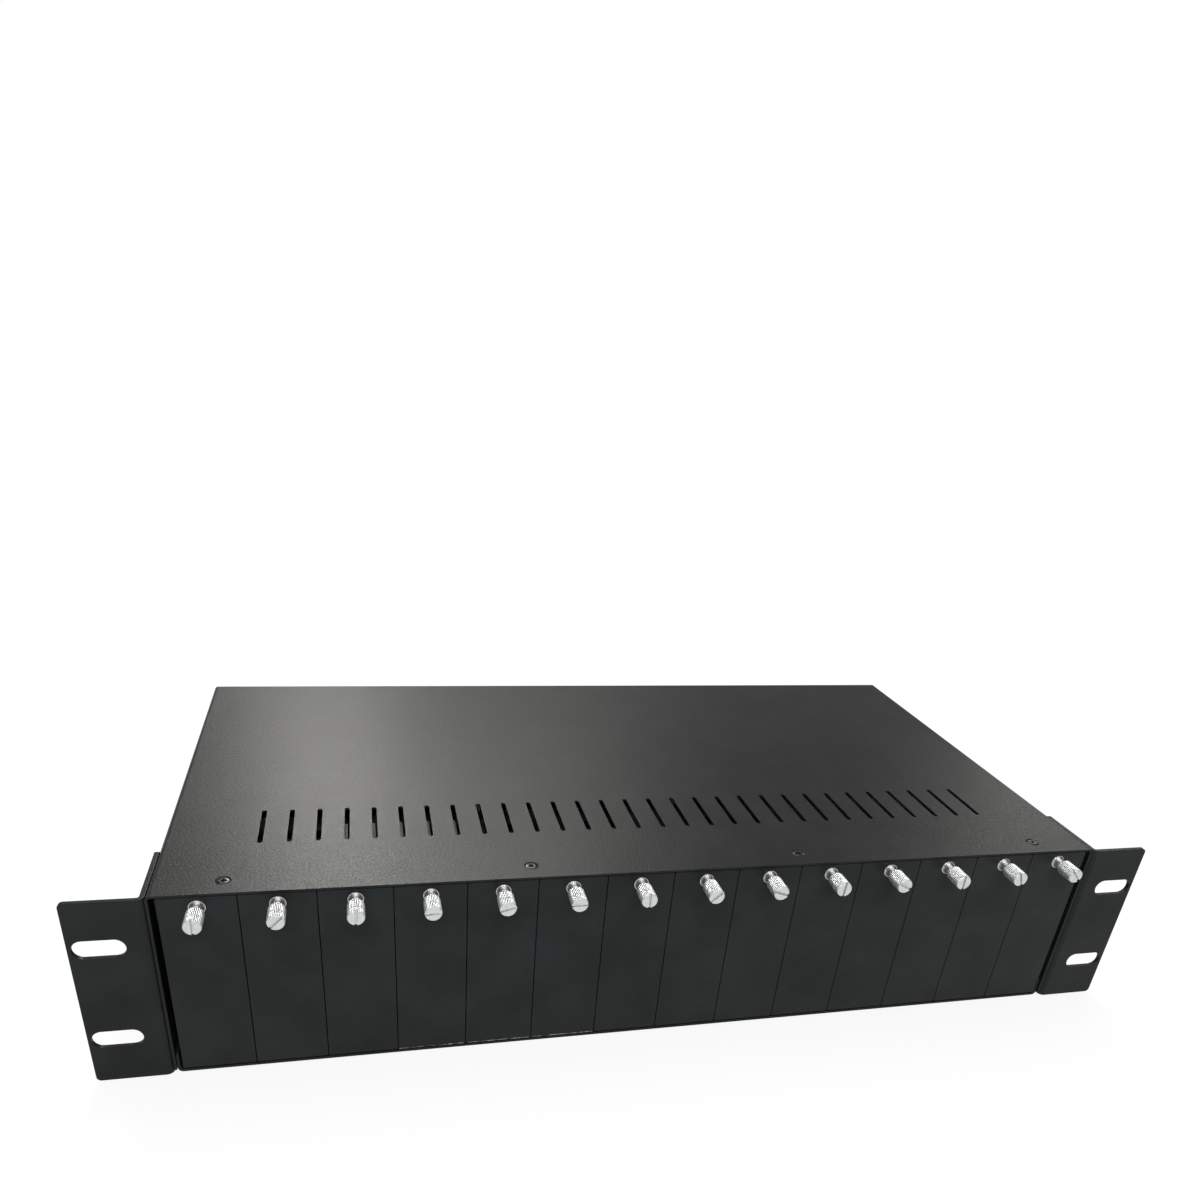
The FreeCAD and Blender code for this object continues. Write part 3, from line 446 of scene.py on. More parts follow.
def soften(piece, radius, segments=2):
    """Rounds a piece's sharp edges and shades it smooth between them."""
    apply_modifier(piece, "BEVEL", width=radius, segments=segments, limit_method="ANGLE",
                   angle_limit=EDGE_ANGLE, use_clamp_overlap=True, miter_outer="MITER_ARC")
    bpy.ops.object.shade_smooth_by_angle(angle=SMOOTH_ANGLE)
    apply_modifier(piece, "WEIGHTED_NORMAL", mode="FACE_AREA", weight=100, keep_sharp=True)


def cut(piece, cutter):
    """Takes one piece out of another and removes the cutter."""
    apply_modifier(piece, "BOOLEAN", operation="DIFFERENCE", solver="EXACT", object=cutter)
    bpy.data.objects.remove(cutter)


def cad_copy(node, name):
    """A new piece from a CAD node's mesh, with its loose triangles joined into whole faces."""
    piece = bpy.data.objects.new(name, nodes_of_frame[node].data.copy())
    bpy.context.scene.collection.objects.link(piece)
    piece.data.materials.clear()
    edit(piece)
    bpy.ops.mesh.customdata_custom_splitnormals_clear()
    bpy.ops.mesh.remove_doubles(threshold=JOIN_DISTANCE)
    bpy.ops.mesh.dissolve_limited(angle_limit=FLAT_ANGLE)
    close()
    return piece


def own_copy(piece, name):
    """A copy with a mesh of its own."""
    copy = piece.copy()
    copy.data = piece.data.copy()
    copy.name = name
    copy.data.name = name
    bpy.context.scene.collection.objects.link(copy)
    return copy


def place(piece, point, direction=UP):
    """Stands a piece that was modelled along +Z on a point, facing a direction, and applies its place."""
    activate(piece)
    piece.rotation_mode = "QUATERNION"
    piece.rotation_quaternion = UP.rotation_difference(direction)
    piece.location = point
    bpy.ops.object.transform_apply(location=True, rotation=True, scale=False)
    piece.rotation_mode = "XYZ"


def join(pieces, name):
    """One piece from several."""
    activate(pieces[0])
    for piece in pieces:
        piece.select_set(True)
    if len(pieces) > 1:
        bpy.ops.object.join()
    pieces[0].name = name
    pieces[0].data.name = name
    return pieces[0]


def finish_piece(piece, material, body, slot, *replaced):
    """Gives a piece its material and ties it to its body of the frame."""
    piece.data.materials.clear()
    piece.data.materials.append(material)
    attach(piece, body)
    if replaced:
        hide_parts(*replaced)


def turn_round(piece, angle):
    """Turns a piece about the Z axis."""
    edit(piece)
    bpy.ops.transform.rotate(value=angle, orient_axis="Z", center_override=(0, 0, 0))
    close()


def turned(name, rings, sides):
    """A turned piece along +Z, drawn out ring by ring from (radius, height) pairs."""
    radius, height = rings[0]
    bpy.ops.object.select_all(action="DESELECT")
    bpy.ops.mesh.primitive_circle_add(vertices=sides, radius=radius, fill_type="NGON",
                                      location=(0, 0, height))
    piece = added(name)
    edit(piece)
    bpy.ops.mesh.select_mode(type="FACE")
    for wide, far in rings[1:]:
        bpy.ops.mesh.extrude_region_move(TRANSFORM_OT_translate={"value": (0, 0, far - height)})
        bpy.ops.transform.resize(value=(wide / radius, wide / radius, 1), center_override=(0, 0, far))
        radius, height = wide, far
    bpy.ops.mesh.select_all(action="SELECT")
    bpy.ops.mesh.normals_make_consistent(inside=False)
    close()
    return piece


def bar(name, size, middle):
    """A box of a size about its middle."""
    bpy.ops.object.select_all(action="DESELECT")
    bpy.ops.mesh.primitive_cube_add(size=1, location=middle, scale=size)
    return added(name)


def loose_boxes(node):
    """Lowest and highest corner of each separate solid in a CAD node."""
    piece = cad_copy(node, "loose_" + node)
    edit(piece)
    bpy.ops.mesh.separate(type="LOOSE")
    close()
    found = []
    for part in list(bpy.context.selected_objects):
        corners = [Vector(corner) for corner in part.bound_box]
        found.append((Vector(map(min, *corners)), Vector(map(max, *corners))))
        bpy.data.objects.remove(part)
    return found


def thumbscrew_axis(number):
    """Middle of a thumbscrew, at the front end of its knob."""
    low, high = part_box("thumbscrew_" + number)
    return Vector(((low.x + high.x) / 2, low.y, (low.z + high.z) / 2))


# Materials

def new_material(name):
    """An empty node material with its shader and object coordinates."""
    material = bpy.data.materials.new(name)
    material.use_nodes = True
    tree = material.node_tree
    shader = tree.nodes["Principled BSDF"]
    coordinates = tree.nodes.new("ShaderNodeTexCoord")
    return material, tree, shader, coordinates.outputs["Object"]


def noise(tree, coordinates, size, detail=2.0, stretch=(1, 1, 1)):
    """Noise whose features have a given size in metres, drawn out along an axis where stretch is small."""
    mapping = tree.nodes.new("ShaderNodeMapping")
    mapping.inputs["Scale"].default_value = stretch
    texture = tree.nodes.new("ShaderNodeTexNoise")
    texture.inputs["Scale"].default_value = 1 / size
    texture.inputs["Detail"].default_value = detail
    tree.links.new(coordinates, mapping.inputs["Vector"])
    tree.links.new(mapping.outputs["Vector"], texture.inputs["Vector"])
    return texture.outputs["Fac"]


def ramp(tree, value, stops):
    """Goes from one colour or grey level to another between two values."""
    node = tree.nodes.new("ShaderNodeValToRGB")
    for element, (position, colour) in zip(node.color_ramp.elements, stops):
        element.position = position
        element.color = colour if hasattr(colour, "__len__") else (colour, colour, colour, 1)
    tree.links.new(value, node.inputs["Fac"])
    return node.outputs["Color"]


def spread(tree, value, low, high):
    """Goes from one colour or grey level to another over most of a noise."""
    return ramp(tree, value, zip(NOISE_RANGE, (low, high)))


def bump(tree, shader, height, depth, strength):
    """Relief of a given depth in metres."""
    node = tree.nodes.new("ShaderNodeBump")
    node.inputs["Strength"].default_value = strength
    node.inputs["Distance"].default_value = depth
    tree.links.new(height, node.inputs["Height"])
    tree.links.new(node.outputs["Normal"], shader.inputs["Normal"])


def surface(tree, shader, shade, rough):
    """Gives the shader its colour and its roughness."""
    tree.links.new(shade, shader.inputs["Base Color"])
    tree.links.new(rough, shader.inputs["Roughness"])


def scaled(colour, factor):
    """A colour made darker or lighter."""
    return (colour[0] * factor, colour[1] * factor, colour[2] * factor, 1)


def clouded(tree, coordinates, colour, size, detail, darkest, lightest):
    """A colour that is uneven in clouds of a given size."""
    cloud = noise(tree, coordinates, size, detail)
    return spread(tree, cloud, scaled(colour, darkest), scaled(colour, lightest))


def powder_coat(settings, name, colour, roughness, gloss, worn=None):
    """Satin black with a fine grain. Where worn gives a level and a height, that edge is chipped."""
    material, tree, shader, coordinates = new_material(name)
    shade = clouded(tree, coordinates, colour, size=settings.grain * COAT_CLOUD, detail=3,
                    darkest=0.85, lightest=1.2)
    grain = noise(tree, coordinates, size=settings.grain, detail=3)
    rough = spread(tree, grain, roughness - COAT_SWAY, roughness + COAT_SWAY)
    bump(tree, shader, grain, depth=settings.grain * COAT_RELIEF, strength=0.9)
    shader.inputs["Specular IOR Level"].default_value = gloss
    if worn:
        chips = chipped_edge(tree, coordinates, *worn)
        mix = tree.nodes.new("ShaderNodeMix")
        mix.data_type = "RGBA"
        mix.inputs["B"].default_value = settings.bare
        tree.links.new(chips, mix.inputs["Factor"])
        tree.links.new(shade, mix.inputs["A"])
        tree.links.new(chips, shader.inputs["Metallic"])
        shade = mix.outputs["Result"]
    surface(tree, shader, shade, rough)
    return material


def chipped_edge(tree, coordinates, level, height):
    """One close to a level and nought above it, with an uneven border."""
    separate = tree.nodes.new("ShaderNodeSeparateXYZ")
    tree.links.new(coordinates, separate.inputs["Vector"])
    uneven = noise(tree, coordinates, size=height * CHIP_SIZE, detail=4)
    offset = tree.nodes.new("ShaderNodeMath")
    offset.operation = "MULTIPLY_ADD"
    offset.inputs[1].default_value = -height * CHIP_SWAY
    tree.links.new(uneven, offset.inputs[0])
    tree.links.new(separate.outputs["Z"], offset.inputs[2])
    edge = tree.nodes.new("ShaderNodeMapRange")
    edge.inputs["From Min"].default_value = level - height * CHIP_BORDER
    edge.inputs["From Max"].default_value = level - height
    tree.links.new(offset.outputs["Value"], edge.inputs["Value"])
    return edge.outputs["Result"]


def plated_metal(name, colour, roughness, turned_marks_and_groove_shade=True, metallic=1):
    """Plated metal with faint machining marks and a slightly uneven shine; with turned marks it also gets
    painted shade in the grooves of a knurl.
    """
    material, tree, shader, coordinates = new_material(name)
    shade = clouded(tree, coordinates, colour, size=0.0012, detail=3, darkest=0.9, lightest=1.05)
    marks = noise(tree, coordinates, size=0.00025, stretch=TURNED if turned_marks_and_groove_shade else (1, 1, 1))
    rough = spread(tree, marks, *(roughness * share for share in PLATE_DULLNESS))
    bump(tree, shader, marks, depth=0.00001, strength=0.4)
    shader.inputs["Metallic"].default_value = metallic
    # painted shade in the bottom of the knurl's grooves
    if turned_marks_and_groove_shade:
        shade = painted_groove_shade(tree, shade)
    surface(tree, shader, shade, rough)
    return material


def painted_groove_shade(tree, shade):
    """Paints shade into the colour where the piece's groove attribute is high, darkest in the bottom of a
    knurl.
    """
    groove = tree.nodes.new("ShaderNodeAttribute")
    groove.attribute_name = "groove"
    level = ramp(tree, groove.outputs["Fac"], PAINTED_GROOVE_SHADE)
    mix = tree.nodes.new("ShaderNodeMix")
    mix.data_type = "RGBA"
    mix.blend_type = "MULTIPLY"
    mix.inputs["Factor"].default_value = 1
    tree.links.new(shade, mix.inputs["A"])
    tree.links.new(level, mix.inputs["B"])
    return mix.outputs["Result"]


def zinc_sheet():
    """Bright zinc plate with its cloudy spangle and the rolling direction of the sheet."""
    material, tree, shader, coordinates = new_material("zinc-plated sheet")
    spangle = noise(tree, coordinates, size=0.008, detail=4)
    rolled = noise(tree, coordinates, size=0.0004, stretch=ROLLED)
    bump(tree, shader, rolled, depth=0.00001, strength=0.3)
    shader.inputs["Metallic"].default_value = 1
    surface(tree, shader, spread(tree, spangle, *ZINC_GREYS), spread(tree, rolled, *ZINC_ROUGHNESS))
    return material


def moulded_plastic(name, colour, roughness):
    """Moulded plastic with the fine spark texture of its mould."""
    material, tree, shader, coordinates = new_material(name)
    spark = noise(tree, coordinates, size=0.0004, detail=3)
    shade = clouded(tree, coordinates, colour, size=0.01, detail=2, darkest=0.9, lightest=1.12)
    rough = spread(tree, spark, roughness - MOULDING_SWAY, roughness + MOULDING_SWAY)
    bump(tree, shader, spark, depth=0.00002, strength=0.4)
    shader.inputs["Specular IOR Level"].default_value = 0.2
    surface(tree, shader, shade, rough)
    return material


def circuit_board():
    """Green solder mask, lighter and slightly raised over areas of copper."""
    material, tree, shader, coordinates = new_material("circuit board")
    pour = noise(tree, coordinates, size=0.012, detail=1)
    shade = ramp(tree, pour, zip(COPPER_BORDER, (BOARD_GREEN, COPPER_GREEN)))
    bump(tree, shader, pour, depth=0.00003, strength=0.4)
    shader.inputs["Roughness"].default_value = 0.28
    tree.links.new(shade, shader.inputs["Base Color"])
    return material


def black_oxide(settings):
    """Blackened steel of the small screws, rubbed bright here and there."""
    material, tree, shader, coordinates = new_material("black oxide")
    rub = noise(tree, coordinates, size=0.0011, detail=4)
    shade = ramp(tree, rub, zip(RUBBED, (settings.colour, RUBBED_STEEL)))
    rough = ramp(tree, rub, RUBBED_SHINE)
    bump(tree, shader, noise(tree, coordinates, size=0.0003), depth=0.00001, strength=0.4)
    shader.inputs["Specular IOR Level"].default_value = 0.22
    surface(tree, shader, shade, rough)
    return material


# Operators, one for each piece or group of like pieces, one for the plate that some share, and the stage

class CHASSIS_OT_nickel(bpy.types.Operator):
    """Make the nickel plate that the ferrules, the inlet pins and the ground screw share"""

    bl_idname = "chassis.nickel"
    bl_label = "Nickel Plate"

    def execute(self, context):
        settings = context.scene.chassis_thumbscrews
        plated_metal("nickel plate", settings.colour, settings.roughness)
        return {"FINISHED"}


class CHASSIS_OT_sheet_metal(bpy.types.Operator):
    """Coat the cover, tray, rear panel, ears and rails, with the edges that powder coat rounds"""

    bl_idname = "chassis.sheet_metal"
    bl_label = "Sheet Metal"

    def execute(self, context):
        settings = context.scene.chassis_coat
        colour, front = settings.colour, settings.front_colour
        coat = powder_coat(settings, "black powder coat", colour, settings.roughness, settings.gloss)
        ears = powder_coat(settings, "ear coat", front, settings.roughness, settings.ear_gloss)
        # duller copy of the coat: painted shade for the rails, whose tongues lie under the cover
        rails = powder_coat(settings, "rail coat", front, settings.roughness, settings.shaded_rail_gloss)
        for material, radius, nodes in ((coat, settings.cover_edge, ("top_cover",)),
                                        (coat, settings.edge, ("base_tray", "rear_panel")),
                                        (ears, settings.edge, ("rack_ear_left", "rack_ear_right")),
                                        (rails, settings.edge, ("front_top_rail", "front_bottom_rail"))):
            for node in nodes:
                piece = cad_copy(node, node + "_coated")
                soften(piece, radius)
                finish_piece(piece, material, "chassis", "black_coat", node)
        return {"FINISHED"}


class CHASSIS_OT_filler_panels(bpy.types.Operator):
    """Model one filler panel with its pegs and ferrule, and copy it to every slot"""

    bl_idname = "chassis.filler_panels"
    bl_label = "Filler Panels"

    def execute(self, context):
        settings = context.scene.chassis_panels
        coat = context.scene.chassis_coat
        first_low, first_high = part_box("filler_panel_" + panel_numbers[0])
        middle = (first_low.x + first_high.x) / 2
        clean = powder_coat(coat, "panel coat", coat.front_colour, settings.roughness, settings.gloss)
        worn = powder_coat(coat, "chipped panel coat", coat.front_colour, settings.roughness, settings.gloss,
                           (first_low.z, settings.wear))
        nickel = bpy.data.materials["nickel plate"]
        plate = self.plate(settings, coat, first_low, first_high)
        ferrule = self.ferrule(settings, first_low)
        for number in panel_numbers:
            low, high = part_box("filler_panel_" + number)
            step = Vector(((low.x + high.x) / 2 - middle, 0, 0))
            body = "panel_" + number
            chipped = settings.worn_first <= int(number) <= settings.worn_last
            piece = own_copy(plate, "panel_plate_" + number)
            place(piece, step)
            finish_piece(piece, worn if chipped else clean, body, "black_coat", "filler_panel_" + number)
            collar = own_copy(ferrule, "panel_ferrule_" + number)
            axis = thumbscrew_axis(number)
            place(collar, Vector((axis.x, body_front, axis.z)), FORWARD)
            finish_piece(collar, nickel, body, "nickel")
        bpy.data.objects.remove(plate)
        bpy.data.objects.remove(ferrule)
        return {"FINISHED"}

    def plate(self, settings, coat, low, high):
        """Flat plate with rounded corners and two pegs behind its lower end."""
        size = Vector((high.x - low.x, settings.thickness, high.z - low.z))
        middle = Vector(((low.x + high.x) / 2, body_front + settings.thickness / 2, (low.z + high.z) / 2))
        plate = bar("panel_plate", size, middle)
        edit_edges(plate, lambda one, other: abs(one.y - other.y) > settings.thickness / 2)
        bpy.ops.mesh.bevel(offset=settings.corner, segments=4, affect="EDGES")
        close()
        pieces = [plate]
        back = body_front + settings.thickness
        length = high.y - back
        radius = settings.peg_radius
        rings = [(radius, -PEG_ROOT), (radius, length * PEG_TAPER), (radius * PEG_TIP, length)]
        for side in (-1, 1):
            peg = turned("peg", rings, sides=32)
            x = middle.x + side * settings.peg_spacing / 2
            place(peg, Vector((x, back, low.z + settings.peg_height)), BACKWARD)
            pieces.append(peg)
        piece = join(pieces, "panel_plate")
        soften(piece, coat.edge)
        return piece

    def ferrule(self, settings, low):
        """Ferrule along +Z with a foot, a hollow waist and a bore."""
        length = body_front - low.y
        foot = settings.flange_height
        slope = settings.tip_radius - settings.base_radius
        waist = [(settings.base_radius + slope * share, foot + (length - foot) * reach)
                 for share, reach in FERRULE_WAIST]
        rings = [(settings.bore_radius, 0), (settings.flange_radius, 0), (settings.flange_radius, foot)]
        piece = turned("ferrule", rings + waist + [(settings.bore_radius, length)], sides=64)
        soften(piece, FERRULE_EDGE)
        return piece


class CHASSIS_OT_thumbscrews(bpy.types.Operator):
    """Model one knurled thumbscrew, and copy it to every panel with its driver slot turned as it was left"""

    bl_idname = "chassis.thumbscrews"
    bl_label = "Thumbscrews"

    def execute(self, context):
        settings = context.scene.chassis_thumbscrews
        nickel = plated_metal("knurled nickel", settings.knob_colour, settings.roughness,
                              metallic=settings.metallic)
        low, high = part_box("thumbscrew_" + panel_numbers[0])
        across = high.z - low.z
        slot_size = (settings.slot_width, across * SLOT_OVERRUN, settings.slot_depth * 2)
        screw = self.knob(settings, across / 2, high.y - low.y)
        for index, number in enumerate(panel_numbers):
            piece = own_copy(screw, "thumbscrew_knurled_" + number)
            slot = bar("slot", slot_size, (0, 0, 0))
            turn_round(slot, settings.slot_turns[index])
            cut(piece, slot)
            soften(piece, KNOB_EDGE, 1)
            self.mark_grooves(piece, settings, across / 2)
            place(piece, thumbscrew_axis(number), FORWARD)
            finish_piece(piece, nickel, "screw_" + number, "nickel", "thumbscrew_" + number)
        bpy.data.objects.remove(screw)
        return {"FINISHED"}

    def knob(self, settings, radius, length):
        """The screw along +Z with its face at zero: thread, neck, knurled knob and turned band."""
        chamfer = settings.chamfer
        end = -settings.knob_length
        neck = end - settings.neck_length
        thread, pitch = settings.thread_radius, settings.thread_pitch
        rings = [(thread * TIP_SHARE, -length), (thread, -length + THREAD_TIP)]
        depth = pitch * THREAD_GROOVE
        turn = -length + THREAD_START
        while turn < neck - PLAIN_SHANK:
            rings += [(thread, turn), (thread - depth, turn + pitch / 2)]
            turn += pitch
        rings += [(thread, turn), (thread, neck), (settings.neck_radius, neck),
                  (settings.neck_radius, end + chamfer)]
        shank = turned("thumbscrew", rings, sides=40)
        band = -settings.band_place
        half = settings.band_width / 2
        waist = radius - settings.band_depth
        bottom = half * BAND_FLOOR
        rings = [(settings.neck_radius * KNOB_START, end), (radius - chamfer, end), (radius, end + chamfer),
                 (radius, band - half), (waist, band - bottom), (waist, band + bottom), (radius, band + half),
                 (radius, -chamfer), (radius - chamfer, 0)]
        head = turned("thumbscrew_knob", rings, sides=settings.knurl_count * RIDGE_SIDES)
        self.knurl(head, settings, radius, end)
        return join([shank, head], "thumbscrew")

    def knurl(self, head, settings, radius, end):
        """Sinks the knob's side between its ridges, which are rounded like half beads."""
        step = 2 * math.pi / settings.knurl_count
        margin = settings.chamfer / 2
        outside = radius - settings.band_depth / 2
        for side in range(RIDGE_SIDES // 2):
            share = side / RIDGE_SIDES
            depth = settings.knurl_depth * (1 - 2 * share) ** 2

            def sunk(point):
                angle = (math.atan2(point.y, point.x) / step) % 1.0
                beside = abs(min(angle, 1 - angle) - share) < SIDE_SLACK / RIDGE_SIDES
                return beside and end + margin < point.z < -margin and point.xy.length > outside

            edit(head, sunk)
            inward = 1 - depth / radius
            bpy.ops.transform.resize(value=(inward, inward, 1), center_override=(0, 0, 0))
            close()

    def mark_grooves(self, piece, settings, radius):
        """Writes how deep each point of the knurled side lies, which the painted shade in the plate's colour
        follows.
        """
        face_edge = -settings.chamfer * FACE_SHARE
        slot_floor = settings.slot_depth * SLOT_FLOOR
        depths = []
        for vertex in piece.data.vertices:
            depth = (radius - math.hypot(vertex.co.x, vertex.co.y)) / settings.knurl_depth
            knurled = -settings.knob_length < vertex.co.z < face_edge and depth < DEEPEST_GROOVE
            knurled = knurled and abs(vertex.co.z + settings.slot_depth) > slot_floor
            depths.append(min(max(depth, 0.0), 1.0) if knurled else 0.0)
        attribute = piece.data.attributes.new("groove", "FLOAT", "POINT")
        attribute.data.foreach_set("value", depths)


class CHASSIS_OT_small_screws(bpy.types.Operator):
    """Model countersunk and pan-head screws with a cross recess, and copy them to their places"""

    bl_idname = "chassis.small_screws"
    bl_label = "Small Screws"

    def execute(self, context):
        settings = context.scene.chassis_screws
        oxide = black_oxide(settings)
        nickel = bpy.data.materials["nickel plate"]
        for node, axis, sign, flat in BLACK_SCREWS:
            self.group(node, axis, sign, flat, settings, oxide, "black_screw")
        self.group("ground_screw", "Y", 1, False, settings, nickel, "nickel")
        return {"FINISHED"}

    def group(self, node, axis, sign, flat, settings, material, slot):
        """All screws of one node, facing along an axis, or away from the middle where the sign is nought."""
        index = "XYZ".index(axis)
        boxes = loose_boxes(node)
        low, high = boxes[0]
        across = [high[i] - low[i] for i in range(3) if i != index]
        master = self.screw(max(across) / 2, high[index] - low[index], flat, settings)
        pieces = []
        for count, (low, high) in enumerate(boxes):
            middle = (low + high) / 2
            facing = sign or math.copysign(1, middle[index])
            head = middle.copy()
            head[index] = high[index] if facing > 0 else low[index]
            direction = Vector((0, 0, 0))
            direction[index] = facing
            piece = own_copy(master, node + "_copy")
            turn_round(piece, math.radians(NEXT_TURN * count + FIRST_TURN))
            place(piece, head, direction)
            pieces.append(piece)
        bpy.data.objects.remove(master)
        finish_piece(join(pieces, node + "_recessed"), material, "chassis", slot, node)

    def screw(self, head, length, flat, settings):
        """A screw along +Z with the top of its head at zero."""
        shank = head * SHANK_SHARE
        if flat:
            rise, underside, profile = head, FLAT_UNDERSIDE, FLAT_HEAD
        else:
            rise, underside, profile = head * PAN_RISE, 1, PAN_HEAD
        rings = [(shank * TIP_SHARE, -length), (shank, -length + shank * TIP_CHAMFER)]
        rings.append((shank, -rise * underside))
        rings += [(head * wide, -rise * deep) for wide, deep in profile]
        piece = turned("screw", rings, sides=40)
        width = head * settings.recess_width
        depth = head * settings.recess_depth
        reach = head * settings.recess_length
        for size in ((width, reach, depth * 2), (reach, width, depth * 2)):
            arm = bar("recess", size, (0, 0, 0))
            edit(arm, lambda point: point.z < 0)
            bpy.ops.transform.resize(value=(RECESS_TAPER, RECESS_TAPER, 1), center_override=(0, 0, 0))
            close()
            cut(piece, arm)
        soften(piece, head * HEAD_EDGE)
        return piece


class CHASSIS_OT_rear_fittings(bpy.types.Operator):
    """Finish the mains inlets, switches and fans at the rear"""

    bl_idname = "chassis.rear_fittings"
    bl_label = "Rear Fittings"

    def execute(self, context):
        plastic = moulded_plastic("black moulding", MOULDING_BLACK, roughness=0.5)
        glossy = moulded_plastic("rocker moulding", ROCKER_BLACK, roughness=0.3)
        white = moulded_plastic("white marks", MARK_WHITE, roughness=0.4)
        for side in ("left", "right"):
            for node, body, material, edge in (
                    ("power_inlet_" + side, "chassis", plastic, 0.0003),
                    ("switch_frame_" + side, "chassis", plastic, 0.00025),
                    ("switch_rocker_" + side, "rocker_" + side, glossy, 0.0003),
                    ("fan_frame_" + side, "chassis", plastic, 0.0003),
                    ("fan_rotor_" + side, "rotor_" + side, plastic, 0.0002)):
                piece = cad_copy(node, node + "_moulded")
                if material is glossy:
                    self.marks(piece, side, white)
                soften(piece, edge)
                finish_piece(piece, material, body, "black_plastic", node)
        pins = cad_copy("inlet_pins", "inlet_pins_plated")
        soften(pins, PIN_EDGE)
        finish_piece(pins, bpy.data.materials["nickel plate"], "chassis", "nickel", "inlet_pins")
        return {"FINISHED"}

    def marks(self, rocker, side, material):
        """A bar on the upper and a ring on the lower half of a rocker."""
        faces = [face for face in rocker.data.polygons if face.normal.y > FACING]
        faces = sorted(faces, key=lambda face: face.area)[-2:]
        upper, lower = sorted(faces, key=lambda face: -face.center.z)
        line = bar("rocker_on_" + side, MARK_LINE, (0, 0, 0))
        half = MARK_LINE[2] / 2
        ring = turned("rocker_off_" + side, [(MARK_RING, -half), (MARK_RING, half)], sides=40)
        hole = turned("hole", [(MARK_HOLE, -HOLE_REACH), (MARK_HOLE, HOLE_REACH)], sides=40)
        cut(ring, hole)
        for mark, face in ((line, upper), (ring, lower)):
            soften(mark, MARK_EDGE)
            place(mark, face.center.copy(), face.normal.copy())
            finish_piece(mark, material, "rocker_" + side, "white_plastic")


class CHASSIS_OT_inner_pieces(bpy.types.Operator):
    """Finish the card guides, distribution board and power supplies inside"""

    bl_idname = "chassis.inner_pieces"
    bl_label = "Inner Pieces"

    def execute(self, context):
        zinc = zinc_sheet()
        supply = plated_metal("supply case", SUPPLY_GREY, roughness=0.4, turned_marks_and_groove_shade=False)
        plastic = bpy.data.materials["black moulding"]
        nylon = moulded_plastic("nylon", NYLON_WHITE, roughness=0.45)
        board = circuit_board()
        for node, material, slot, edge in (
                ("card_guides", plastic, "black_plastic", 0.0002),
                ("board_bracket", zinc, "zinc_sheet", 0.0002),
                ("dc_board", board, "circuit_board", 0.0001),
                ("dc_plugs", plastic, "black_plastic", 0.0002),
                ("board_spacers", nylon, "white_plastic", 0.0001),
                ("power_supply_left", supply, "supply_case", 0.0004),
                ("power_supply_right", supply, "supply_case", 0.0004)):
            piece = cad_copy(node, node + "_finished")
            soften(piece, edge)
            finish_piece(piece, material, "chassis", slot, node)
        return {"FINISHED"}


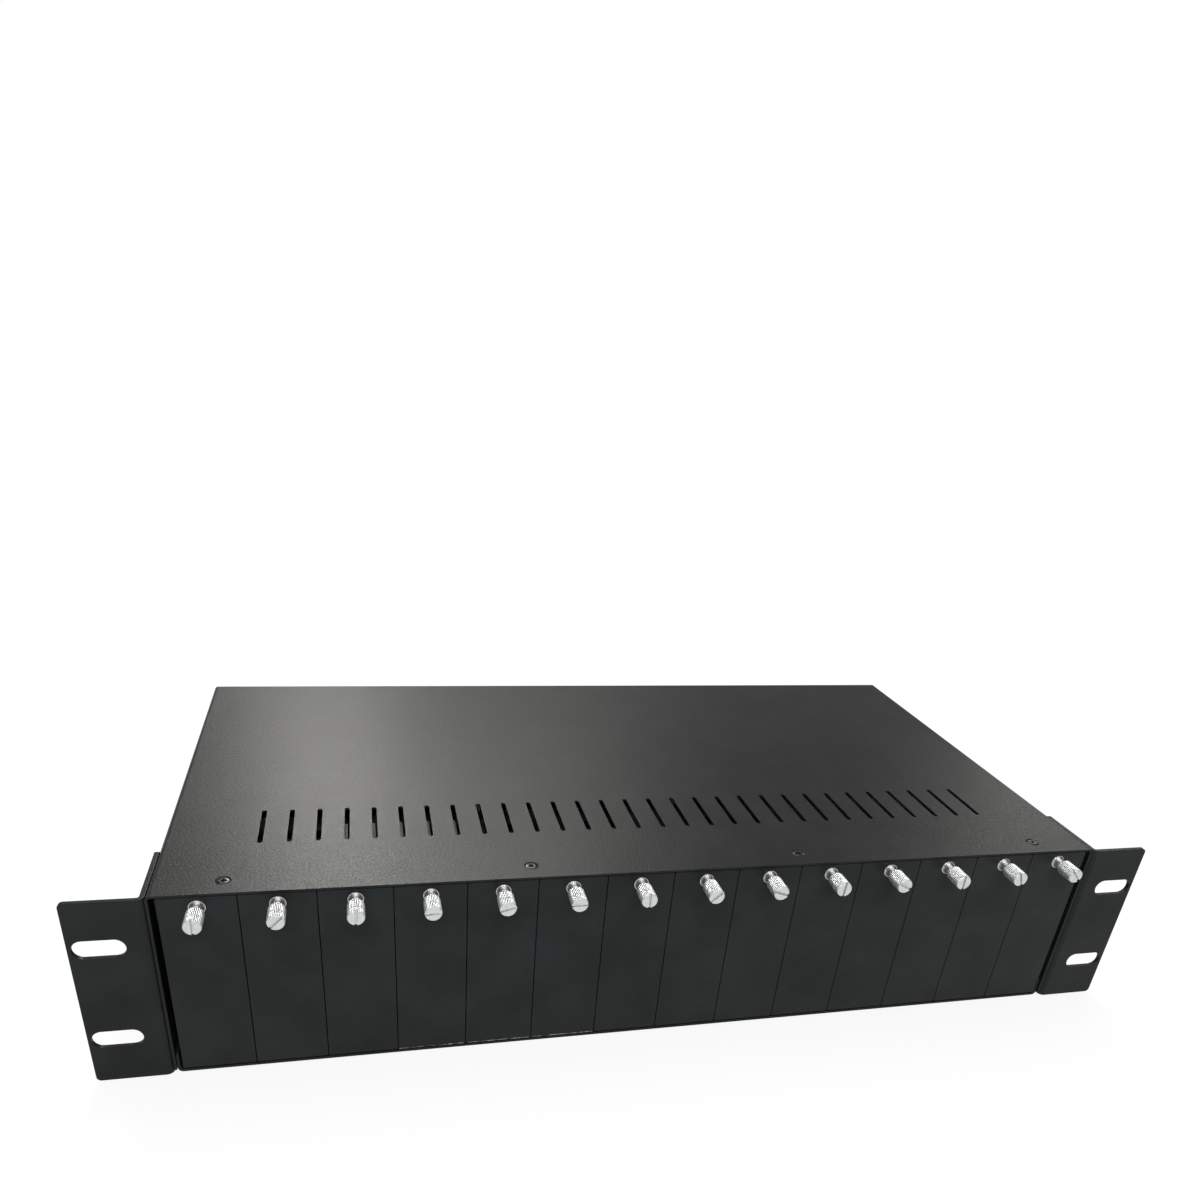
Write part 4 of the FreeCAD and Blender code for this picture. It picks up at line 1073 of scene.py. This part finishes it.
class CHASSIS_OT_stage(bpy.types.Operator):
    """Set up the camera, the soft lights, the white surroundings and the floor"""

    bl_idname = "chassis.stage"
    bl_label = "Stage"

    def execute(self, context):
        settings = context.scene.chassis_stage
        context.scene.view_settings.view_transform = "Standard"
        self.camera(context, settings)
        self.world(context, settings)
        self.floor(settings)
        for name, power, point, size, warm in LIGHTS:
            self.light(name, getattr(settings, power), point, size, settings.warmth if warm else WHITE[:3])
        return {"FINISHED"}

    def camera(self, context, settings):
        """The camera, with its lens shifted upwards."""
        bpy.ops.object.camera_add(location=settings.camera_place, rotation=settings.camera_turn)
        camera = context.active_object
        camera.data.sensor_width = SENSOR_WIDTH
        camera.data.lens = settings.lens
        camera.data.shift_y = settings.shift
        camera.data.clip_start = NEAREST
        context.scene.camera = camera

    def seen(self, tree):
        """One for what the camera, a mirror or glass shows, nought for other light."""
        path = tree.nodes.new("ShaderNodeLightPath")
        seen = path.outputs["Is Camera Ray"]
        for name in ("Is Glossy Ray", "Is Transmission Ray"):
            highest = tree.nodes.new("ShaderNodeMath")
            highest.operation = "MAXIMUM"
            tree.links.new(seen, highest.inputs[0])
            tree.links.new(path.outputs[name], highest.inputs[1])
            seen = highest.outputs["Value"]
        return seen

    def world(self, context, settings):
        """Even light from all round, with white surroundings in what the camera and reflections show."""
        world = bpy.data.worlds.new("white surroundings")
        world.use_nodes = True
        context.scene.world = world
        tree = world.node_tree
        light = tree.nodes["Background"]
        light.inputs["Color"].default_value = WHITE
        light.inputs["Strength"].default_value = settings.world_level
        white = tree.nodes.new("ShaderNodeBackground")
        white.inputs["Color"].default_value = WHITE
        mix = tree.nodes.new("ShaderNodeMixShader")
        tree.links.new(self.backdrop(tree, settings), white.inputs["Strength"])
        tree.links.new(self.seen(tree), mix.inputs["Fac"])
        tree.links.new(light.outputs["Background"], mix.inputs[1])
        tree.links.new(white.outputs["Background"], mix.inputs[2])
        tree.links.new(mix.outputs["Shader"], tree.nodes["World Output"].inputs["Surface"])

    def backdrop(self, tree, settings):
        """White for the camera, and in reflections white all round below a dimmer ceiling."""
        coordinates = tree.nodes.new("ShaderNodeTexCoord")
        direction = tree.nodes.new("ShaderNodeSeparateXYZ")
        tree.links.new(coordinates.outputs["Object"], direction.inputs["Vector"])
        fade = tree.nodes.new("ShaderNodeMapRange")
        fade.interpolation_type = "SMOOTHSTEP"
        fade.inputs["From Min"].default_value = math.sin(settings.backdrop_top)
        fade.inputs["From Max"].default_value = math.sin(settings.backdrop_top * 2)
        fade.inputs["To Min"].default_value = 1
        fade.inputs["To Max"].default_value = settings.ceiling_level
        tree.links.new(direction.outputs["Z"], fade.inputs["Value"])
        path = tree.nodes.new("ShaderNodeLightPath")
        level = tree.nodes.new("ShaderNodeMath")
        level.operation = "MAXIMUM"
        tree.links.new(path.outputs["Is Camera Ray"], level.inputs[0])
        tree.links.new(fade.outputs["Result"], level.inputs[1])
        return level.outputs["Value"]

    def floor(self, settings):
        """White floor that keeps some of the object's shadow."""
        bpy.ops.object.select_all(action="DESELECT")
        bpy.ops.mesh.primitive_plane_add(size=FLOOR_SIZE, location=(0, 0, cad_box[0].z - FLOOR_GAP))
        floor = added("floor")
        material = bpy.data.materials.new("white floor")
        material.use_nodes = True
        tree = material.node_tree
        shader = tree.nodes["Principled BSDF"]
        shader.inputs["Base Color"].default_value = FLOOR_GREY
        shader.inputs["Roughness"].default_value = 0.9
        shader.inputs["Specular IOR Level"].default_value = 0.1
        glow = tree.nodes.new("ShaderNodeEmission")
        share = tree.nodes.new("ShaderNodeMath")
        share.operation = "MULTIPLY"
        tree.links.new(self.far_white(tree, settings), share.inputs[1])
        mix = tree.nodes.new("ShaderNodeMixShader")
        tree.links.new(self.seen(tree), share.inputs[0])
        tree.links.new(share.outputs["Value"], mix.inputs["Fac"])
        tree.links.new(shader.outputs["BSDF"], mix.inputs[1])
        tree.links.new(glow.outputs["Emission"], mix.inputs[2])
        tree.links.new(mix.outputs["Shader"], tree.nodes["Material Output"].inputs["Surface"])
        floor.data.materials.append(material)

    def far_white(self, tree, settings):
        """The floor's share of plain white, all of it away from the object and less around it."""
        coordinates = tree.nodes.new("ShaderNodeTexCoord")
        distance = tree.nodes.new("ShaderNodeVectorMath")
        distance.operation = "LENGTH"
        tree.links.new(coordinates.outputs["Object"], distance.inputs[0])
        fade = tree.nodes.new("ShaderNodeMapRange")
        fade.interpolation_type = "SMOOTHSTEP"
        fade.inputs["From Min"].default_value = SHADOW_START
        fade.inputs["From Max"].default_value = settings.shadow_reach
        fade.inputs["To Min"].default_value = 1 - settings.shadow
        tree.links.new(distance.outputs["Value"], fade.inputs["Value"])
        return fade.outputs["Result"]

    def light(self, name, power, point, size, colour):
        """A rectangular soft light that faces the middle of the object."""
        point = Vector(point)
        middle = (cad_box[0] + cad_box[1]) / 2
        turn = (middle - point).to_track_quat("-Z", "Y").to_euler()
        bpy.ops.object.light_add(type="AREA", location=point, rotation=turn)
        lamp = bpy.context.active_object
        lamp.name = name
        lamp.data.shape = "RECTANGLE"
        lamp.data.size, lamp.data.size_y = size
        lamp.data.energy = power
        lamp.data.color = colour


class CHASSIS_PT_sidebar(bpy.types.Panel):
    """Lists the steps that build the chassis"""

    bl_idname = "CHASSIS_PT_sidebar"
    bl_label = "Media Converter Chassis"
    bl_space_type = "VIEW_3D"
    bl_region_type = "UI"
    bl_category = "Chassis"

    def draw(self, context):
        for operator in operators:
            self.layout.operator(operator.bl_idname)


settings_groups = {
    "chassis_coat": CoatSettings,
    "chassis_panels": PanelSettings,
    "chassis_thumbscrews": ThumbscrewSettings,
    "chassis_screws": ScrewSettings,
    "chassis_stage": StageSettings,
}
operators = (CHASSIS_OT_nickel, CHASSIS_OT_sheet_metal, CHASSIS_OT_filler_panels, CHASSIS_OT_thumbscrews,
             CHASSIS_OT_small_screws, CHASSIS_OT_rear_fittings, CHASSIS_OT_inner_pieces, CHASSIS_OT_stage)


def register():
    """Adds the settings, the operators and the sidebar."""
    for group in settings_groups.values():
        bpy.utils.register_class(group)
    for name, group in settings_groups.items():
        setattr(bpy.types.Scene, name, PointerProperty(type=group))
    for operator in operators:
        bpy.utils.register_class(operator)
    bpy.utils.register_class(CHASSIS_PT_sidebar)


def unregister():
    """Takes away what register added."""
    bpy.utils.unregister_class(CHASSIS_PT_sidebar)
    for operator in reversed(operators):
        bpy.utils.unregister_class(operator)
    for name, group in settings_groups.items():
        delattr(bpy.types.Scene, name)
        bpy.utils.unregister_class(group)


def main():
    """Builds the pieces and the stage."""
    register()
    bpy.ops.chassis.nickel()
    bpy.ops.chassis.sheet_metal()
    bpy.ops.chassis.filler_panels()
    bpy.ops.chassis.thumbscrews()
    bpy.ops.chassis.small_screws()
    bpy.ops.chassis.rear_fittings()
    bpy.ops.chassis.inner_pieces()
    bpy.ops.chassis.stage()


if __name__ == "__main__":
    main()
